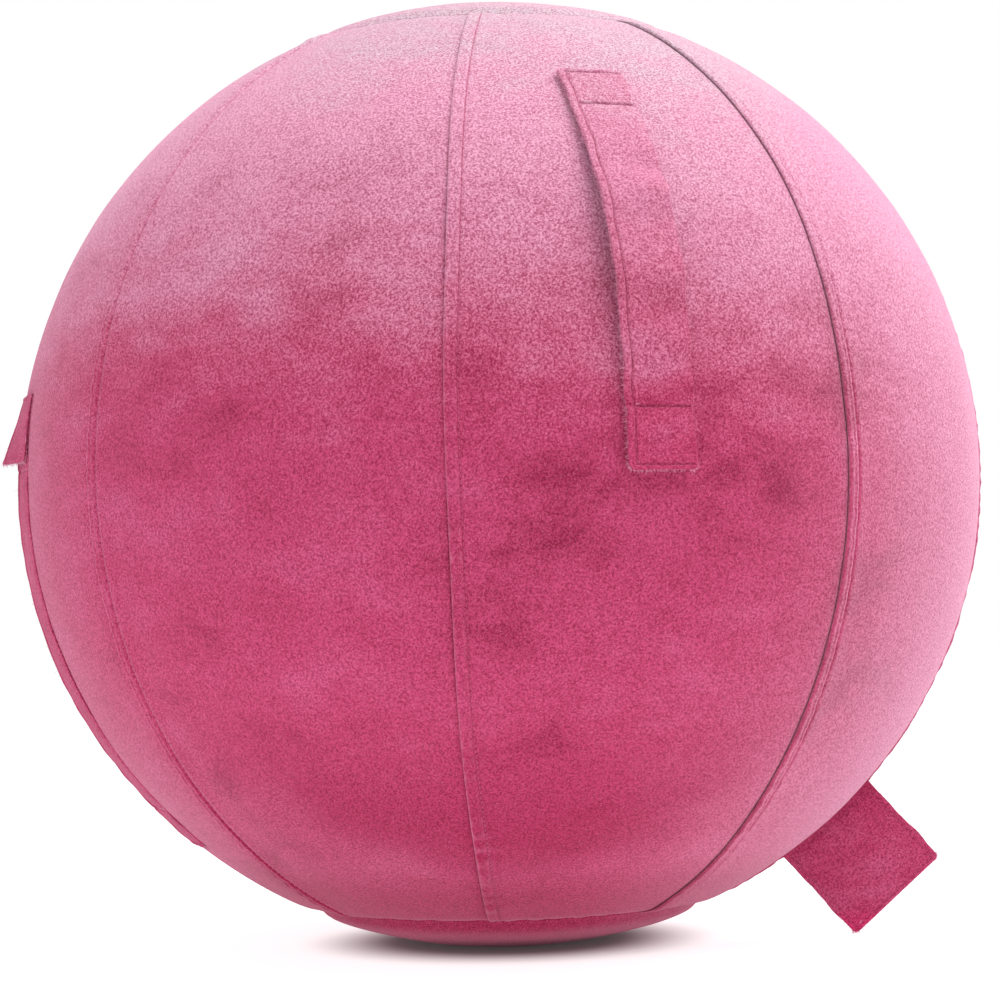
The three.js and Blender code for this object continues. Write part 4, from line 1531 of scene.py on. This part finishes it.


def make_stage():
    """A white floor that glows, with its glow dimmed round the ball's foot as a painted shadow."""
    mesh = bpy.data.meshes.new("floor")
    ring = [(FLOOR_RADIUS * math.cos(t), FLOOR_RADIUS * math.sin(t), -0.5 * MM) for t in circle(64)]
    mesh.from_pydata(ring, [], [list(range(64))])
    floor = add_object("floor", mesh)
    n = Nodes("floor")
    n.join(n.mix(n.noise(3.0), (0.54, 0.54, 0.54), (0.56, 0.56, 0.56)), n.shader.inputs["Base Color"])
    away = n.tree.nodes.new("ShaderNodeVectorMath")
    away.operation = "LENGTH"
    n.join(n.place, away.inputs[0])
    # the glow fades near the ball's foot: a painted shadow round it
    glow = n.plus(n.times(n.ramp(away.outputs["Value"], SHADOW_START, SHADOW_END), 0.78), 0.03)
    n.join(glow, n.shader.inputs["Emission Strength"])
    n.set(Roughness=0.9, Specular_IOR_Level=0.0, Emission_Color=(1.0, 1.0, 1.0, 1.0))
    floor.data.materials.append(n.material)
    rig.stage(floor)


def make_camera():
    """The camera stands a little below the ball's widest ring and left of the front, slightly rolled."""
    distance, azimuth, elevation, drop, roll = 1.8227, -17.2, -3.1, 0.406, -1.38
    data = bpy.data.cameras.new("camera")
    data.lens = 95.4
    data.sensor_width = 36
    camera = add_object("camera", data)
    middle = Vector((0, 0, CENTRE))
    camera.location = middle + distance * way_to(azimuth, elevation)
    aim = middle - Vector((0, 0, distance * math.tan(math.radians(drop))))
    look = (camera.location - aim).to_track_quat("Z", "Y")
    turned_by = Matrix.Rotation(math.radians(roll), 4, "Z")
    camera.rotation_euler = (look.to_matrix().to_4x4() @ turned_by).to_euler()
    bpy.context.scene.camera = camera


def make_world():
    """A white backdrop all round, dimmer overhead, where the lights take over."""
    world = bpy.data.worlds.new("studio")
    world.use_nodes = True
    tree = world.node_tree
    place = tree.nodes.new("ShaderNodeTexCoord")
    height = tree.nodes.new("ShaderNodeSeparateXYZ")
    level = tree.nodes.new("ShaderNodeMapRange")
    for name, value in (("From Min", 0.3), ("From Max", 0.75), ("To Min", 1.0), ("To Max", 0.35)):
        level.inputs[name].default_value = value
    tree.links.new(place.outputs["Generated"], height.inputs[0])
    tree.links.new(height.outputs["Z"], level.inputs["Value"])
    tree.links.new(level.outputs["Result"], tree.nodes["Background"].inputs["Strength"])
    tree.nodes["Background"].inputs["Color"].default_value = (1.0, 1.0, 1.0, 1.0)
    bpy.context.scene.world = world


make_stage()
make_camera()
make_world()
for light in (  # name, azimuth, elevation, distance, size, watts
    ("key", 50, 60, 2.2, 1.6, 40),
    ("top", 20, 88, 2.0, 1.6, 25),
    ("rim", 100, 20, 2.2, 1.2, 19),
    ("fill", -75, 20, 2.4, 1.6, 9),
):
    soft_light(*light)
bpy.context.scene.view_settings.view_transform = "Standard"

visual_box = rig.bounds()
with open("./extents.json", "w") as f:
    json.dump({"cad": [list(c) for c in cad_box], "visual": [list(c) for c in visual_box]}, f, indent=1)
